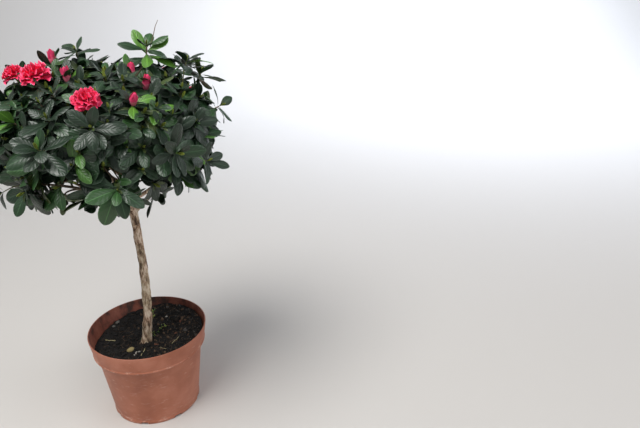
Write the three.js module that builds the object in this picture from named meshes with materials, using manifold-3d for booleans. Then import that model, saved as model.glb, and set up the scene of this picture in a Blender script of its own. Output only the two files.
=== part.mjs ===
// A stem-grown azalea shrub: one woody stem with a rounded evergreen head, in a plastic pot of soil.
// Millimetres, +Z up. The origin is the centre of the pot's flat underside.

import * as THREE from 'three';
import { mergeVertices } from 'three/addons/utils/BufferGeometryUtils.js';
import Module from 'manifold-3d';

const wasm = await Module();
wasm.setup();

// Pot
const POT_HEIGHT = 130;
const RIM_RADIUS = 85;
const COLLAR_HEIGHT = 28;
const COLLAR_FOOT_RADIUS = 80.5;
const BODY_TOP_RADIUS = 76;
const BASE_RADIUS = 63;
const WALL = 1.8;
const BEAD = 1;
const FOOT_HEIGHT = 5;
const FOOT_RING_WIDTH = 8;
const CENTRE_PAD_RADIUS = 40;
const FOOT_SLOPE = 3;
const POT_SEGMENTS = 36;
const DRAIN_SLOTS = 8;
const SLOT_WIDTH = 10;
const SLOT_HEIGHT = 3.5;

// Soil, which lies higher at the right and the back
const SOIL_AT_STEM = 111;
const SOIL_RISE_RIGHT = 0.13;
const SOIL_RISE_BACK = 0.045;
const SOIL_LOWEST = 105;
const SOIL_HIGHEST = 122;
const SOIL_BUMP = 0.8;
const BUMPS_ACROSS = 0.21;
const BUMPS_DEEP = 0.17;
const BUMPS_ASLANT = 0.11;
const SOIL_MOUND = 1.5;
const MOUND_REACH = 22;
const SOIL_RINGS = 6;

// Stem: its foot, four points on its slightly bent way up, and its tip inside the head
const STEM_LINE = [
  [-4.6, -14, SOIL_AT_STEM],
  [3.2, -13, 165],
  [5.7, -12, 228],
  [4.6, -11, 284],
  [2, -9, 335],
  [-3, -7, 374],
];
const STEM_RADIUS = 6.2;
const STEM_TOP_RADIUS = 5.4;
const STEM_FORK_HEIGHT = 312;
const STEM_TIP_RADIUS = 2.8;
const STEM_SIDES = 10;
const STEM_STEPS = 15;
const FLARE = 2.2;
const FLARE_HEIGHT = 8;
const SEAT_MARGIN = 1;
const SEAT_DEPTH = 20;

// Head: the outline that its leaf tips reach, as a squarish ellipsoid
const HEAD_CENTRE = new THREE.Vector3(-14, -6, 418);
const HEAD_HALF_WIDTH = 143;
const HEAD_HALF_DEPTH = 137;
const HEAD_RISE = 97;
const HEAD_DROP = 77;
const HEAD_SQUARENESS = 2.7;

// Leafy shoots: how deep their tips lie under the outline, and where underneath the head is bare
const SHOOT_DEPTH = 23;
const SHOOT_JITTER = 4;
const SHOOT_LIFT = 0.25;
const BARE_RADIUS = 46;
const BARE_HEIGHT = 372;
const SHELLS = [
  { count: 138, scale: 1, lowest: -0.86, highest: 1, turn: 0, leaves: 5 },
  { count: 15, scale: 0.62, lowest: -0.45, highest: 0.4, turn: 1.1, leaves: 4 },
];

// One long shoot stands above the head
const TALL_SHOOT = new THREE.Vector3(50, -10, 525);
const TALL_SHOOT_LEAVES = 7;

// Masses of foliage: two rings round the stem, each on its boughs, and one on the stem's tip
const MASS_RINGS = [
  {
    name: 'lower', count: 7, turn: 0.25, radius: 102, height: 388,
    fork: 315, forkStep: 4.6, forkStride: 3, boughRadius: 3.3, boughShare: 0.52, seed: 300,
  },
  {
    name: 'upper', count: 5, turn: 0, radius: 88, height: 446,
    fork: 351, forkStep: 3.6, forkStride: 2, boughRadius: 2.5, boughShare: 0.5, seed: 320,
  },
];
const TOP_MASS_HEIGHT = 480;
const TOP_MASS_SEED = 312;
const BOUGH_TIP_RADIUS = 2;
const BOUGH_SAG = 5;
const BOUGH_SIDES = 6;
const BOUGH_STEPS = 4;

// Twigs
const TWIG_RADIUS = 1.3;
const TWIG_TIP_RADIUS = 0.9;
const TWIG_STEPS = 2;
const TWIG_BEND = 0.4;
const TWIG_TRIES = 6;
const TWIG_PROBES = 8;
const OWN_STEM_SIDES = 5;
const OWN_STEM_STEPS = 3;
const STEM_BUDS = [0.15, 0.4, 0.65, 0.9];
const TWIG_BUDS = [0.4, 0.75];

// Leaves, in whorls round the tips of the twigs
const NODE_RADIUS = 2.4;
const NODE_HEIGHT = 2.4;
const NODE_DEPTH = 2.4;
const LEAF_LENGTH = 42;
const LEAF_WIDTH = 20;
const LEAF_WIDEST = 0.6;
const LEAF_EDGE_DROP = 1.5;
const LEAF_ROOM = 1.8;
const LEAF_SIZE_SPREAD = 0.1;
const LEAF_ANGLE_SPREAD = 0.12;
const LEAF_PITCHES = [70, 52];
const PITCH_SPREAD = 8;
const LEAF_DROOP = 0.14;
const LEAST_PITCH = 8;
const LEAF_TRIES = [
  { steeper: 0, scale: 1 },
  { steeper: 0, scale: 0.8 },
  { steeper: 16, scale: 0.9 },
  { steeper: 32, scale: 0.8 },
  { steeper: 48, scale: 0.65 },
];
const ROOM_SHARE = 0.85;
const ROOM_PROBES = [1, 2, 3, 4, 5, 6];

// Double flowers, each of two rounds of petals, and flower buds
const PETAL_LENGTH = 17;
const PETAL_WIDTH = 15;
const PETAL_ROUNDS = [
  { petals: 5, pitch: 78, scale: 1, ahead: 9 },
  { petals: 4, pitch: 44, scale: 0.85, ahead: 13 },
];
const FLOWER_BUD_RADIUS = 4.2;
const FLOWER_BUD_HALF_LENGTH = 9;

// Flowers, and a leafy shoot at the right, by their bearing and height round the head, in degrees, and
// how far they stand out of it
const FLOWERS = [
  { kind: 'bloom', bearing: -160, height: 48, proud: 8 },
  { kind: 'bloom', bearing: -98, height: 32, proud: 6 },
  { kind: 'bloom', bearing: 175, height: 40, proud: 14 },
  { kind: 'bloom', bearing: 62, height: 18, proud: 5 },
  { kind: 'bloom', bearing: 28, height: 12, proud: 5 },
  { kind: 'bud', bearing: 180, height: 63, proud: 22 },
  { kind: 'bud', bearing: -134, height: 58, proud: 4 },
  { kind: 'bud', bearing: -38, height: 59, proud: 4 },
  { kind: 'bud', bearing: -53, height: 40, proud: 4 },
  { kind: 'bud', bearing: -71, height: 30, proud: 4 },
  { kind: 'bud', bearing: 40, height: 30, proud: 4 },
  { kind: 'bud', bearing: 95, height: 25, proud: 4 },
  { kind: 'bud', bearing: 125, height: 30, proud: 4 },
  { kind: 'leafy', bearing: -12, height: 14, proud: 23 },
];

// Space between nodes, how far a shoot's tip stays from the border of its mass's space, and the size
// of the scraps of a join that are smoothed away
const GAP = 0.3;
const BORDER = 7.5;
const FINEST_DETAIL = 0.06;

const SHOOT_SEED = 41;
const GOLDEN_ANGLE = Math.PI * (3 - Math.sqrt(5));
const FULL_TURN = 2 * Math.PI;
const RIGHT = new THREE.Vector3(1, 0, 0);
const BACK = new THREE.Vector3(0, 1, 0);
const UP = new THREE.Vector3(0, 0, 1);
const { lerp, clamp, degToRad } = THREE.MathUtils;

// Repeatable random numbers from 0 to 1
function seeded(seed) {
  let state = seed;
  return () => {
    state = (state * 16807) % 2147483647;
    return state / 2147483647;
  };
}

function spread(random, size) {
  return (random() * 2 - 1) * size;
}

// A closed three.js geometry as a solid that can be joined and cut
function toSolid(geometry) {
  const bare = geometry.clone();
  bare.deleteAttribute('normal');
  bare.deleteAttribute('uv');
  const merged = mergeVertices(bare);
  return new wasm.Manifold(new wasm.Mesh({
    numProp: 3,
    vertProperties: merged.attributes.position.array,
    triVerts: new Uint32Array(merged.index.array),
  }));
}

// The largest of a solid's bodies, without loose scraps and sealed hollows
function largestBody(solid) {
  return solid.decompose().reduce((best, body) => (body.volume() > best.volume() ? body : best));
}

// Joins solids two by two until one body is left
function fuse(solids) {
  let row = solids;
  while (row.length > 1) {
    const next = [];
    for (let i = 0; i < row.length; i += 2) {
      next.push(i + 1 < row.length ? row[i].add(row[i + 1]) : row[i]);
    }
    row = next;
  }
  return largestBody(row[0]).simplify(FINEST_DETAIL);
}

function toMesh(name, solid, material) {
  const shape = solid.getMesh();
  const geometry = new THREE.BufferGeometry();
  geometry.setAttribute('position', new THREE.BufferAttribute(shape.vertProperties, 3));
  geometry.setIndex(new THREE.BufferAttribute(shape.triVerts, 1));
  const mesh = new THREE.Mesh(geometry, material);
  mesh.name = name;
  return mesh;
}

// A limb: a cylinder laid along a curve, with a radius for each share of its length
function limb(curve, radiusAt, sides, steps, footHeight = null) {
  const shape = new THREE.CylinderGeometry(1, 1, 1, sides, steps);
  const frames = curve.computeFrenetFrames(steps);
  const place = shape.attributes.position;
  for (let i = 0; i < place.count; i += 1) {
    const step = Math.round((place.getY(i) + 0.5) * steps);
    const share = step / steps;
    const point = curve.getPointAt(share);
    point.addScaledVector(frames.normals[step], place.getX(i) * radiusAt(share));
    point.addScaledVector(frames.binormals[step], -place.getZ(i) * radiusAt(share));
    if (step === 0 && footHeight !== null) {
      point.z = footHeight;
    }
    place.setXYZ(i, point.x, point.y, point.z);
  }
  return toSolid(shape);
}

// A profile of radii and heights turned about the upright axis
function turned(points, segments) {
  const profile = points.map(([radius, height]) => new THREE.Vector2(radius, height));
  return new THREE.LatheGeometry(profile, segments).rotateX(Math.PI / 2);
}

// The pot's outside, from the middle of its underside to its rim
function potOutside() {
  const collarFoot = POT_HEIGHT - COLLAR_HEIGHT;
  const ringInner = BASE_RADIUS - FOOT_RING_WIDTH;
  return [
    [0, 0],
    [CENTRE_PAD_RADIUS, 0],
    [CENTRE_PAD_RADIUS + FOOT_SLOPE, FOOT_HEIGHT],
    [ringInner - FOOT_SLOPE, FOOT_HEIGHT],
    [ringInner, 0],
    [BASE_RADIUS, 0],
    [BASE_RADIUS + BEAD, BEAD],
    [BASE_RADIUS + BEAD, FOOT_HEIGHT],
    [BASE_RADIUS + BEAD / 2, FOOT_HEIGHT + BEAD],
    [BODY_TOP_RADIUS, collarFoot],
    [COLLAR_FOOT_RADIUS + BEAD, collarFoot],
    [COLLAR_FOOT_RADIUS + BEAD, collarFoot + 2 * BEAD],
    [COLLAR_FOOT_RADIUS + BEAD / 4, collarFoot + 3 * BEAD],
    [RIM_RADIUS, POT_HEIGHT],
  ];
}

// The pot's inside, from its rim to the middle of its floor
function potInside() {
  const shoulder = POT_HEIGHT - COLLAR_HEIGHT + WALL;
  return {
    rim: [RIM_RADIUS - WALL, POT_HEIGHT],
    collarFoot: [COLLAR_FOOT_RADIUS - WALL, shoulder],
    bodyTop: [BODY_TOP_RADIUS - WALL, shoulder],
    floorEdge: [BASE_RADIUS - WALL, FOOT_HEIGHT + WALL],
    channelEdge: [CENTRE_PAD_RADIUS + FOOT_SLOPE - WALL, FOOT_HEIGHT + WALL],
    padEdge: [CENTRE_PAD_RADIUS - WALL, WALL],
    middle: [0, WALL],
  };
}

// The pot: a thin wall turned in one piece, with drain slots cut through its foot ring
function makePot() {
  let pot = toSolid(turned([...potOutside(), ...Object.values(potInside())], POT_SEGMENTS));
  for (let i = 0; i < DRAIN_SLOTS; i += 1) {
    const slot = new THREE.BoxGeometry(3 * FOOT_RING_WIDTH, SLOT_WIDTH, 2 * SLOT_HEIGHT);
    slot.translate(BASE_RADIUS - FOOT_RING_WIDTH / 2, 0, 0);
    slot.rotateZ((i + 0.5) * FULL_TURN / DRAIN_SLOTS + Math.PI / 2);
    pot = pot.subtract(toSolid(slot));
  }
  return pot;
}

// Height of the soil at a place in the pot
function soilHeight(x, y) {
  const [stemX, stemY] = STEM_LINE[0];
  const away = Math.hypot(x - stemX, y - stemY) / MOUND_REACH;
  const slope = SOIL_RISE_RIGHT * (x - stemX) + SOIL_RISE_BACK * (y - stemY);
  const bumps = Math.sin(BUMPS_ACROSS * x + 1) * Math.cos(BUMPS_DEEP * y) + Math.sin(BUMPS_ASLANT * (x - y));
  const height = SOIL_AT_STEM + slope + SOIL_BUMP * bumps + SOIL_MOUND * Math.exp(-away * away);
  return clamp(height, SOIL_LOWEST, SOIL_HIGHEST);
}

// The soil fills the pot, clear of its wall, and has a level seat for the stem's foot
function makeSoil() {
  const { collarFoot, bodyTop, floorEdge, channelEdge, padEdge, middle } = potInside();
  const points = [[0, middle[1] + GAP]];
  for (const [radius, height] of [padEdge, channelEdge, floorEdge, bodyTop, collarFoot]) {
    points.push([radius - GAP, height + GAP]);
  }
  const level = SOIL_HIGHEST + 1;
  for (let i = SOIL_RINGS; i >= 0; i -= 1) {
    points.push([(collarFoot[0] - GAP) * i / SOIL_RINGS, level]);
  }
  const shape = turned(points, POT_SEGMENTS);
  const place = shape.attributes.position;
  for (let i = 0; i < place.count; i += 1) {
    if (place.getZ(i) > SOIL_HIGHEST) {
      place.setZ(i, soilHeight(place.getX(i), place.getY(i)));
    }
  }
  const [stemX, stemY] = STEM_LINE[0];
  const seatRadius = STEM_RADIUS + FLARE + SEAT_MARGIN;
  const seat = new THREE.CylinderGeometry(seatRadius, seatRadius, SEAT_DEPTH, STEM_SIDES);
  seat.rotateX(Math.PI / 2).translate(stemX, stemY, SOIL_AT_STEM - GAP + SEAT_DEPTH / 2);
  return toSolid(shape).subtract(toSolid(seat));
}

const stemCurve = new THREE.CatmullRomCurve3(STEM_LINE.map((point) => new THREE.Vector3(...point)));
const stemTip = stemCurve.getPointAt(1);

// Radius of the stem at a share of its length, from the flare at its foot to its tip
function stemRadius(share) {
  const { z } = stemCurve.getPointAt(share);
  if (z > STEM_FORK_HEIGHT) {
    const above = (z - STEM_FORK_HEIGHT) / (stemTip.z - STEM_FORK_HEIGHT);
    return lerp(STEM_TOP_RADIUS, STEM_TIP_RADIUS, above);
  }
  const rise = z - SOIL_AT_STEM;
  const below = rise / (STEM_FORK_HEIGHT - SOIL_AT_STEM);
  return lerp(STEM_RADIUS, STEM_TOP_RADIUS, below) + FLARE * Math.exp(-rise / FLARE_HEIGHT);
}

function makeStem(extra) {
  return limb(stemCurve, (share) => stemRadius(share) + extra, STEM_SIDES, STEM_STEPS, SOIL_AT_STEM);
}

// The point of the stem's centre line at a height, found by halving
function stemAt(height) {
  let low = 0;
  let high = 1;
  while (high - low > 1e-6) {
    const middle = (low + high) / 2;
    if (stemCurve.getPointAt(middle).z < height) {
      low = middle;
    } else {
      high = middle;
    }
  }
  return stemCurve.getPointAt(low);
}

// Masses: each has a name, a centre, the curve of its bough, and the way its own stem starts
function layOutMasses() {
  const masses = [];
  for (const ring of MASS_RINGS) {
    for (let i = 0; i < ring.count; i += 1) {
      const bearing = ring.turn + i * FULL_TURN / ring.count;
      const centre = HEAD_CENTRE.clone();
      centre.add(new THREE.Vector3(Math.cos(bearing), Math.sin(bearing), 0).multiplyScalar(ring.radius));
      centre.z = ring.height;
      const level = (i * ring.forkStride) % ring.count;
      const fork = stemAt(ring.fork + level * ring.forkStep);
      const tip = fork.clone().lerp(centre, ring.boughShare);
      const bend = fork.clone().lerp(tip, 0.5);
      bend.z -= BOUGH_SAG;
      masses.push({
        name: `${ring.name}_${i + 1}`,
        centre,
        bough: new THREE.QuadraticBezierCurve3(fork, bend, tip),
        boughRadius: (share) => lerp(ring.boughRadius, BOUGH_TIP_RADIUS, share),
        start: tip,
        along: tip.clone().sub(bend).normalize(),
        startRadius: BOUGH_TIP_RADIUS,
        shoots: [],
        seed: ring.seed + i,
      });
    }
  }
  masses.push({
    name: 'top',
    centre: new THREE.Vector3(HEAD_CENTRE.x, HEAD_CENTRE.y, TOP_MASS_HEIGHT),
    bough: null,
    start: stemTip,
    along: stemCurve.getTangentAt(1),
    startRadius: STEM_TIP_RADIUS,
    shoots: [],
    seed: TOP_MASS_SEED,
  });
  return masses;
}

// Short straight stretches of a limb, which twigs and leaves keep clear of
function stretchesOf(curve, radiusAt, steps) {
  return Array.from({ length: steps }, (_, i) => ({
    line: new THREE.Line3(curve.getPointAt(i / steps), curve.getPointAt((i + 1) / steps)),
    radius: radiusAt(i / steps),
  }));
}

const masses = layOutMasses();
const boughMasses = masses.filter((mass) => mass.bough);
const limbStretches = [
  ...stretchesOf(stemCurve, stemRadius, STEM_STEPS),
  ...boughMasses.flatMap((mass) => stretchesOf(mass.bough, mass.boughRadius, BOUGH_STEPS)),
];

function clearOfLimbs(point, room) {
  const nearest = new THREE.Vector3();
  return limbStretches.every(({ line, radius }) => {
    line.closestPointToPoint(point, true, nearest);
    return nearest.distanceTo(point) > radius + room;
  });
}

// For each neighbour of a mass: the way to it, and how far a point is from the halfway plane
function bordersOf(mass, point) {
  return masses.filter((other) => other !== mass).map((other) => {
    const away = other.centre.clone().sub(mass.centre).normalize();
    const middle = other.centre.clone().add(mass.centre).multiplyScalar(0.5);
    return { away, depth: middle.sub(point).dot(away) };
  });
}

// Whether all the points lie in a mass's own space and clear of the limbs
function fits(mass, points, room) {
  return points.every((point) => (
    bordersOf(mass, point).every(({ depth }) => depth > GAP / 2 + room) && clearOfLimbs(point, GAP + room)
  ));
}

// The head's half sizes, above or below its centre
function headHalves(upright) {
  return new THREE.Vector3(HEAD_HALF_WIDTH, HEAD_HALF_DEPTH, upright > 0 ? HEAD_RISE : HEAD_DROP);
}

// Distance from the head's centre to its outline in a direction
function outlineReach(direction) {
  const { x, y, z } = direction.clone().divide(headHalves(direction.z));
  const level = Math.hypot(x, y) ** HEAD_SQUARENESS + Math.abs(z) ** HEAD_SQUARENESS;
  return level ** (-1 / HEAD_SQUARENESS);
}

// The way that the outline faces at an offset from the head's centre
function outlineFacing(offset) {
  const halves = headHalves(offset.z);
  const { x, y, z } = offset.clone().divide(halves);
  const flatPull = Math.hypot(x, y) ** (HEAD_SQUARENESS - 2);
  const uprightPull = Math.abs(z) ** (HEAD_SQUARENESS - 2);
  return new THREE.Vector3(flatPull * x, flatPull * y, uprightPull * z).divide(halves).normalize();
}

// The place of a shoot's tip in a direction from the head's centre
function shootPlace(direction, scale, proud) {
  const reach = (outlineReach(direction) - SHOOT_DEPTH) * scale + proud;
  return HEAD_CENTRE.clone().addScaledVector(direction, reach);
}

// The direction with a bearing round the upright axis, and the sine of its height above level
function direct(bearing, upright) {
  const flat = Math.sqrt(1 - upright * upright);
  return new THREE.Vector3(flat * Math.cos(bearing), flat * Math.sin(bearing), upright);
}

// Leafy shoots: spread evenly over each shell by the golden angle, then shaken a little
function layOutShoots() {
  const random = seeded(SHOOT_SEED);
  const shoots = [];
  for (const shell of SHELLS) {
    for (let i = 0; i < shell.count; i += 1) {
      const upright = 1 - 2 * (i + 0.5) / shell.count;
      const direction = direct(i * GOLDEN_ANGLE + shell.turn, upright);
      direction.multiply(headHalves(upright)).normalize();
      const point = shootPlace(direction, shell.scale, 0);
      point.x += spread(random, SHOOT_JITTER);
      point.y += spread(random, SHOOT_JITTER);
      point.z += spread(random, SHOOT_JITTER);
      const nearStem = Math.hypot(point.x - HEAD_CENTRE.x, point.y - HEAD_CENTRE.y) < BARE_RADIUS;
      const bare = nearStem && point.z < BARE_HEIGHT;
      if (upright > shell.lowest && upright < shell.highest && !bare) {
        shoots.push({ point, leaves: shell.leaves, flower: null });
      }
    }
  }
  return shoots;
}

// Each flower takes over the tip of the nearest shoot that has none
function addFlowers(shoots) {
  for (const { kind, bearing, height, proud } of FLOWERS) {
    const place = shootPlace(direct(degToRad(bearing), Math.sin(degToRad(height))), 1, proud);
    const free = shoots.filter((shoot) => !shoot.flower);
    const nearest = free.reduce((best, shoot) => (
      shoot.point.distanceTo(place) < best.point.distanceTo(place) ? shoot : best
    ));
    nearest.point.copy(place);
    nearest.flower = kind;
  }
}

// Gives each shoot to the nearest mass, and moves it in from the borders of that mass's space
function shareOut(shoots) {
  for (const shoot of shoots) {
    const mass = masses.reduce((best, each) => (
      each.centre.distanceTo(shoot.point) < best.centre.distanceTo(shoot.point) ? each : best
    ));
    for (const { away, depth } of bordersOf(mass, shoot.point)) {
      shoot.point.addScaledVector(away, Math.min(0, depth - BORDER));
    }
    const facing = outlineFacing(shoot.point.clone().sub(HEAD_CENTRE));
    shoot.axis = facing.addScaledVector(UP, SHOOT_LIFT).normalize();
    mass.shoots.push(shoot);
  }
}

// A mass's own stem, from just clear of its bough's tip to its centre, and where twigs can leave it
function ownStem(mass) {
  const start = mass.start.clone().addScaledVector(mass.along, GAP);
  const bend = start.clone().addScaledVector(mass.along, TWIG_BEND * start.distanceTo(mass.centre));
  const curve = new THREE.QuadraticBezierCurve3(start, bend, mass.centre);
  const radiusAt = (share) => lerp(mass.startRadius, TWIG_RADIUS, share);
  const solid = limb(curve, radiusAt, OWN_STEM_SIDES, OWN_STEM_STEPS);
  const rings = Array.from({ length: OWN_STEM_STEPS + 1 }, (_, i) => curve.getPointAt(i / OWN_STEM_STEPS));
  return { solid, wood: budsOf(curve, rings, STEM_BUDS, 0) };
}

// Places along wood where twigs can leave it, each with its way along the wood so far. Each lies on the
// middle line of the solid, which is straight from ring to ring.
function budsOf(curve, rings, shares, path) {
  const stretches = rings.length - 1;
  return shares.map((share) => {
    const stretch = Math.floor(share * stretches);
    return {
      point: rings[stretch].clone().lerp(rings[stretch + 1], share * stretches - stretch),
      along: curve.getTangent(share),
      path: path + curve.getLength() * share,
    };
  });
}

// The curve of a twig from a place on the wood to the tip of its shoot, which it meets end on
function twigCurve(from, shoot) {
  const bend = shoot.point.clone().addScaledVector(shoot.axis, -TWIG_BEND * from.distanceTo(shoot.point));
  return new THREE.QuadraticBezierCurve3(from, bend, shoot.point);
}

// The shortest way to a shoot from the wood grown so far that has room, or null
function findTwig(mass, wood, shoot) {
  const ways = wood.map((from) => {
    const along = shoot.point.clone().sub(from.point);
    const turnBack = 1 - along.clone().normalize().dot(from.along);
    return { from, cost: along.length() * (1 + turnBack / 2) + from.path / 4 };
  });
  ways.sort((one, other) => one.cost - other.cost);
  for (const { from } of ways.slice(0, TWIG_TRIES)) {
    const curve = twigCurve(from.point, shoot);
    const points = curve.getPoints(TWIG_PROBES).slice(1);
    if (fits(mass, points, TWIG_RADIUS)) {
      wood.push(...budsOf(curve, curve.getPoints(TWIG_STEPS), TWIG_BUDS, from.path));
      return curve;
    }
  }
  return null;
}

// A leaf or petal of a whorl: where round it, the ways it points, spreads and faces, and its size
function layLeaf(shoot, angle, pitch, length, width, droop) {
  const level = Math.abs(shoot.axis.x) < 0.9 ? RIGHT : BACK;
  const radial = level.clone().cross(shoot.axis).normalize().applyAxisAngle(shoot.axis, angle);
  const along = shoot.axis.clone().multiplyScalar(Math.cos(degToRad(pitch)));
  along.addScaledVector(radial, Math.sin(degToRad(pitch))).addScaledVector(UP, -droop).normalize();
  const across = shoot.axis.clone().cross(along).normalize();
  const face = along.clone().cross(across);
  return { radial, along, across, face, length, width, grows: true };
}

// The width that a leaf of a whorl can have before it meets its neighbours
function roomAround(length, pitch, leaves) {
  const away = LEAF_WIDEST * length * Math.sin(degToRad(pitch));
  return 2 * ROOM_SHARE * away * Math.tan(Math.PI / leaves);
}

// The outline of a leaf round its whorl: one edge, its tip and its other edge
function leafOutline(shoot, leaf) {
  const widest = shoot.point.clone().addScaledVector(leaf.along, LEAF_WIDEST * leaf.length);
  widest.addScaledVector(leaf.face, -LEAF_EDGE_DROP);
  return [
    widest.clone().addScaledVector(leaf.across, -leaf.width / 2),
    shoot.point.clone().addScaledVector(leaf.along, leaf.length),
    widest.clone().addScaledVector(leaf.across, leaf.width / 2),
  ];
}

function boxesMeet(one, other) {
  return [0, 1, 2].every((axis) => one.min[axis] < other.max[axis] && other.min[axis] < one.max[axis]);
}

// Whether a leaf has room in its mass's space, clear of the limbs and of what has grown so far
function hasRoom(mass, shoot, leaf, grown) {
  const outline = leafOutline(shoot, leaf);
  const points = outline.flatMap((corner) => (
    ROOM_PROBES.map((i) => shoot.point.clone().lerp(corner, i / ROOM_PROBES.length))
  ));
  if (!fits(mass, points, LEAF_ROOM)) {
    return false;
  }
  const blade = new THREE.OctahedronGeometry(1).scale(leaf.length / 2, leaf.width / 2, LEAF_ROOM);
  const middle = shoot.point.clone().lerp(outline[1], (1 + NODE_RADIUS / leaf.length) / 2);
  blade.applyMatrix4(new THREE.Matrix4().makeBasis(leaf.along, leaf.across, leaf.face).setPosition(middle));
  const solid = toSolid(blade);
  const box = solid.boundingBox();
  return grown.every((each) => !boxesMeet(box, each.box) || solid.intersect(each.solid).isEmpty());
}

// The three-cornered rings of a twig, from its foot to just below the whorl at its tip
function twigRings(shoot, twig, radius, tipRadius, across, start) {
  const beyond = shoot.axis.clone().cross(across);
  return Array.from({ length: TWIG_STEPS + 1 }, (_, step) => {
    const share = step / TWIG_STEPS;
    const size = lerp(radius, tipRadius, share);
    const lean = new THREE.Quaternion().setFromUnitVectors(shoot.axis, twig.getTangent(share));
    const middle = twig.getPoint(share);
    if (step === TWIG_STEPS) {
      middle.addScaledVector(shoot.axis, -NODE_DEPTH);
    }
    return [0.5, 1.5, 2.5].map((corner) => {
      const turn = start + corner * FULL_TURN / 3;
      const offset = across.clone().multiplyScalar(Math.cos(turn)).addScaledVector(beyond, Math.sin(turn));
      return middle.clone().addScaledVector(offset.applyQuaternion(lean), size);
    });
  });
}

// The rim of a whorl: a point between each two leaves, then the outline of the leaf or its bare place.
// Each point has the number of its leaf.
function whorlRim(shoot, leaves) {
  return leaves.flatMap((leaf, i) => {
    const before = leaves[(i + leaves.length - 1) % leaves.length];
    const between = leaf.radial.clone().add(before.radial).normalize();
    const gap = shoot.point.clone().addScaledVector(between, NODE_RADIUS);
    const bare = [shoot.point.clone().addScaledVector(leaf.radial, NODE_RADIUS)];
    const outline = leaf.grows ? leafOutline(shoot, leaf) : bare;
    return [gap, ...outline].map((point) => ({ number: i, point }));
  });
}

// A twig that ends in a whorl of leaves, as one closed body. Each leaf has four faces above, which meet
// at the whorl's tip, and four below, which meet at a corner of the twig's last ring.
function shootSolid(shoot, twig, radius, tipRadius, leaves) {
  const rings = twigRings(shoot, twig, radius, tipRadius, leaves[0].radial, -Math.PI / leaves.length);
  const rim = whorlRim(shoot, leaves);
  const tip = shoot.point.clone().addScaledVector(shoot.axis, NODE_HEIGHT);
  const points = [...rings.flat(), ...rim.map(({ point }) => point), tip];
  const faces = [2, 1, 0];
  for (let step = 0; step < TWIG_STEPS; step += 1) {
    for (const corner of [0, 1, 2]) {
      const low = 3 * step + corner;
      const lowNext = 3 * step + (corner + 1) % 3;
      faces.push(low, lowNext, lowNext + 3, low, lowNext + 3, low + 3);
    }
  }
  const lastRing = 3 * TWIG_STEPS;
  const firstRim = lastRing + 3;
  const cornerUnder = rim.map(({ number }) => lastRing + Math.floor((number + 0.5) * 3 / leaves.length));
  rim.forEach((_, i) => {
    const here = firstRim + i;
    const next = firstRim + (i + 1) % rim.length;
    const under = cornerUnder[i];
    const underBefore = cornerUnder[(i + rim.length - 1) % rim.length];
    faces.push(points.length - 1, here, next, under, next, here);
    if (under !== underBefore) {
      faces.push(here, underBefore, under);
    }
  });
  const geometry = new THREE.BufferGeometry().setFromPoints(points);
  geometry.setIndex(faces);
  return toSolid(geometry);
}

// The leaves of a shoot, all round it; one with no room tries to be shorter and to point more steeply
function growLeaves(mass, shoot, random, grown) {
  const turn = random() * FULL_TURN;
  return Array.from({ length: shoot.leaves }, (_, i) => {
    const angle = turn + i * FULL_TURN / shoot.leaves + spread(random, LEAF_ANGLE_SPREAD);
    const pitch = LEAF_PITCHES[i % LEAF_PITCHES.length] + spread(random, PITCH_SPREAD);
    const size = 1 + spread(random, LEAF_SIZE_SPREAD);
    let leaf = null;
    for (const { steeper, scale } of LEAF_TRIES) {
      const tried = Math.max(LEAST_PITCH, pitch - steeper);
      const length = LEAF_LENGTH * size * scale;
      const width = Math.min(LEAF_WIDTH * size * scale, roomAround(length, tried, shoot.leaves));
      leaf = layLeaf(shoot, angle, tried, length, width, LEAF_DROOP);
      leaf.grows = hasRoom(mass, shoot, leaf, grown);
      if (leaf.grows) {
        break;
      }
    }
    return leaf;
  });
}

// A double flower: rounds of broad petals, each on a short stalk ahead of the shoot's tip
function bloomSolids(mass, shoot) {
  return PETAL_ROUNDS.map((round) => {
    const tip = { axis: shoot.axis, point: shoot.point.clone().addScaledVector(shoot.axis, round.ahead) };
    const length = PETAL_LENGTH * round.scale;
    const width = Math.min(PETAL_WIDTH * round.scale, roomAround(length, round.pitch, round.petals));
    const petals = Array.from({ length: round.petals }, (_, i) => {
      const petal = layLeaf(tip, i * FULL_TURN / round.petals, round.pitch, length, width, 0);
      petal.grows = hasRoom(mass, tip, petal, []);
      return petal;
    });
    const stalk = new THREE.LineCurve3(shoot.point, tip.point);
    return shootSolid(tip, stalk, TWIG_RADIUS, TWIG_RADIUS, petals);
  });
}

// A flower bud: a slim eight-faced body ahead of the shoot's tip
function flowerBudSolid(shoot) {
  const shape = new THREE.OctahedronGeometry(1);
  shape.scale(FLOWER_BUD_RADIUS, FLOWER_BUD_HALF_LENGTH, FLOWER_BUD_RADIUS);
  shape.applyQuaternion(new THREE.Quaternion().setFromUnitVectors(BACK, shoot.axis));
  const middle = shoot.point.clone().addScaledVector(shoot.axis, FLOWER_BUD_HALF_LENGTH - NODE_HEIGHT / 2);
  return toSolid(shape.translate(middle.x, middle.y, middle.z));
}

function flowerSolids(mass, shoot) {
  if (shoot.flower === 'bloom') {
    return bloomSolids(mass, shoot);
  }
  return shoot.flower === 'bud' ? [flowerBudSolid(shoot)] : [];
}

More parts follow.
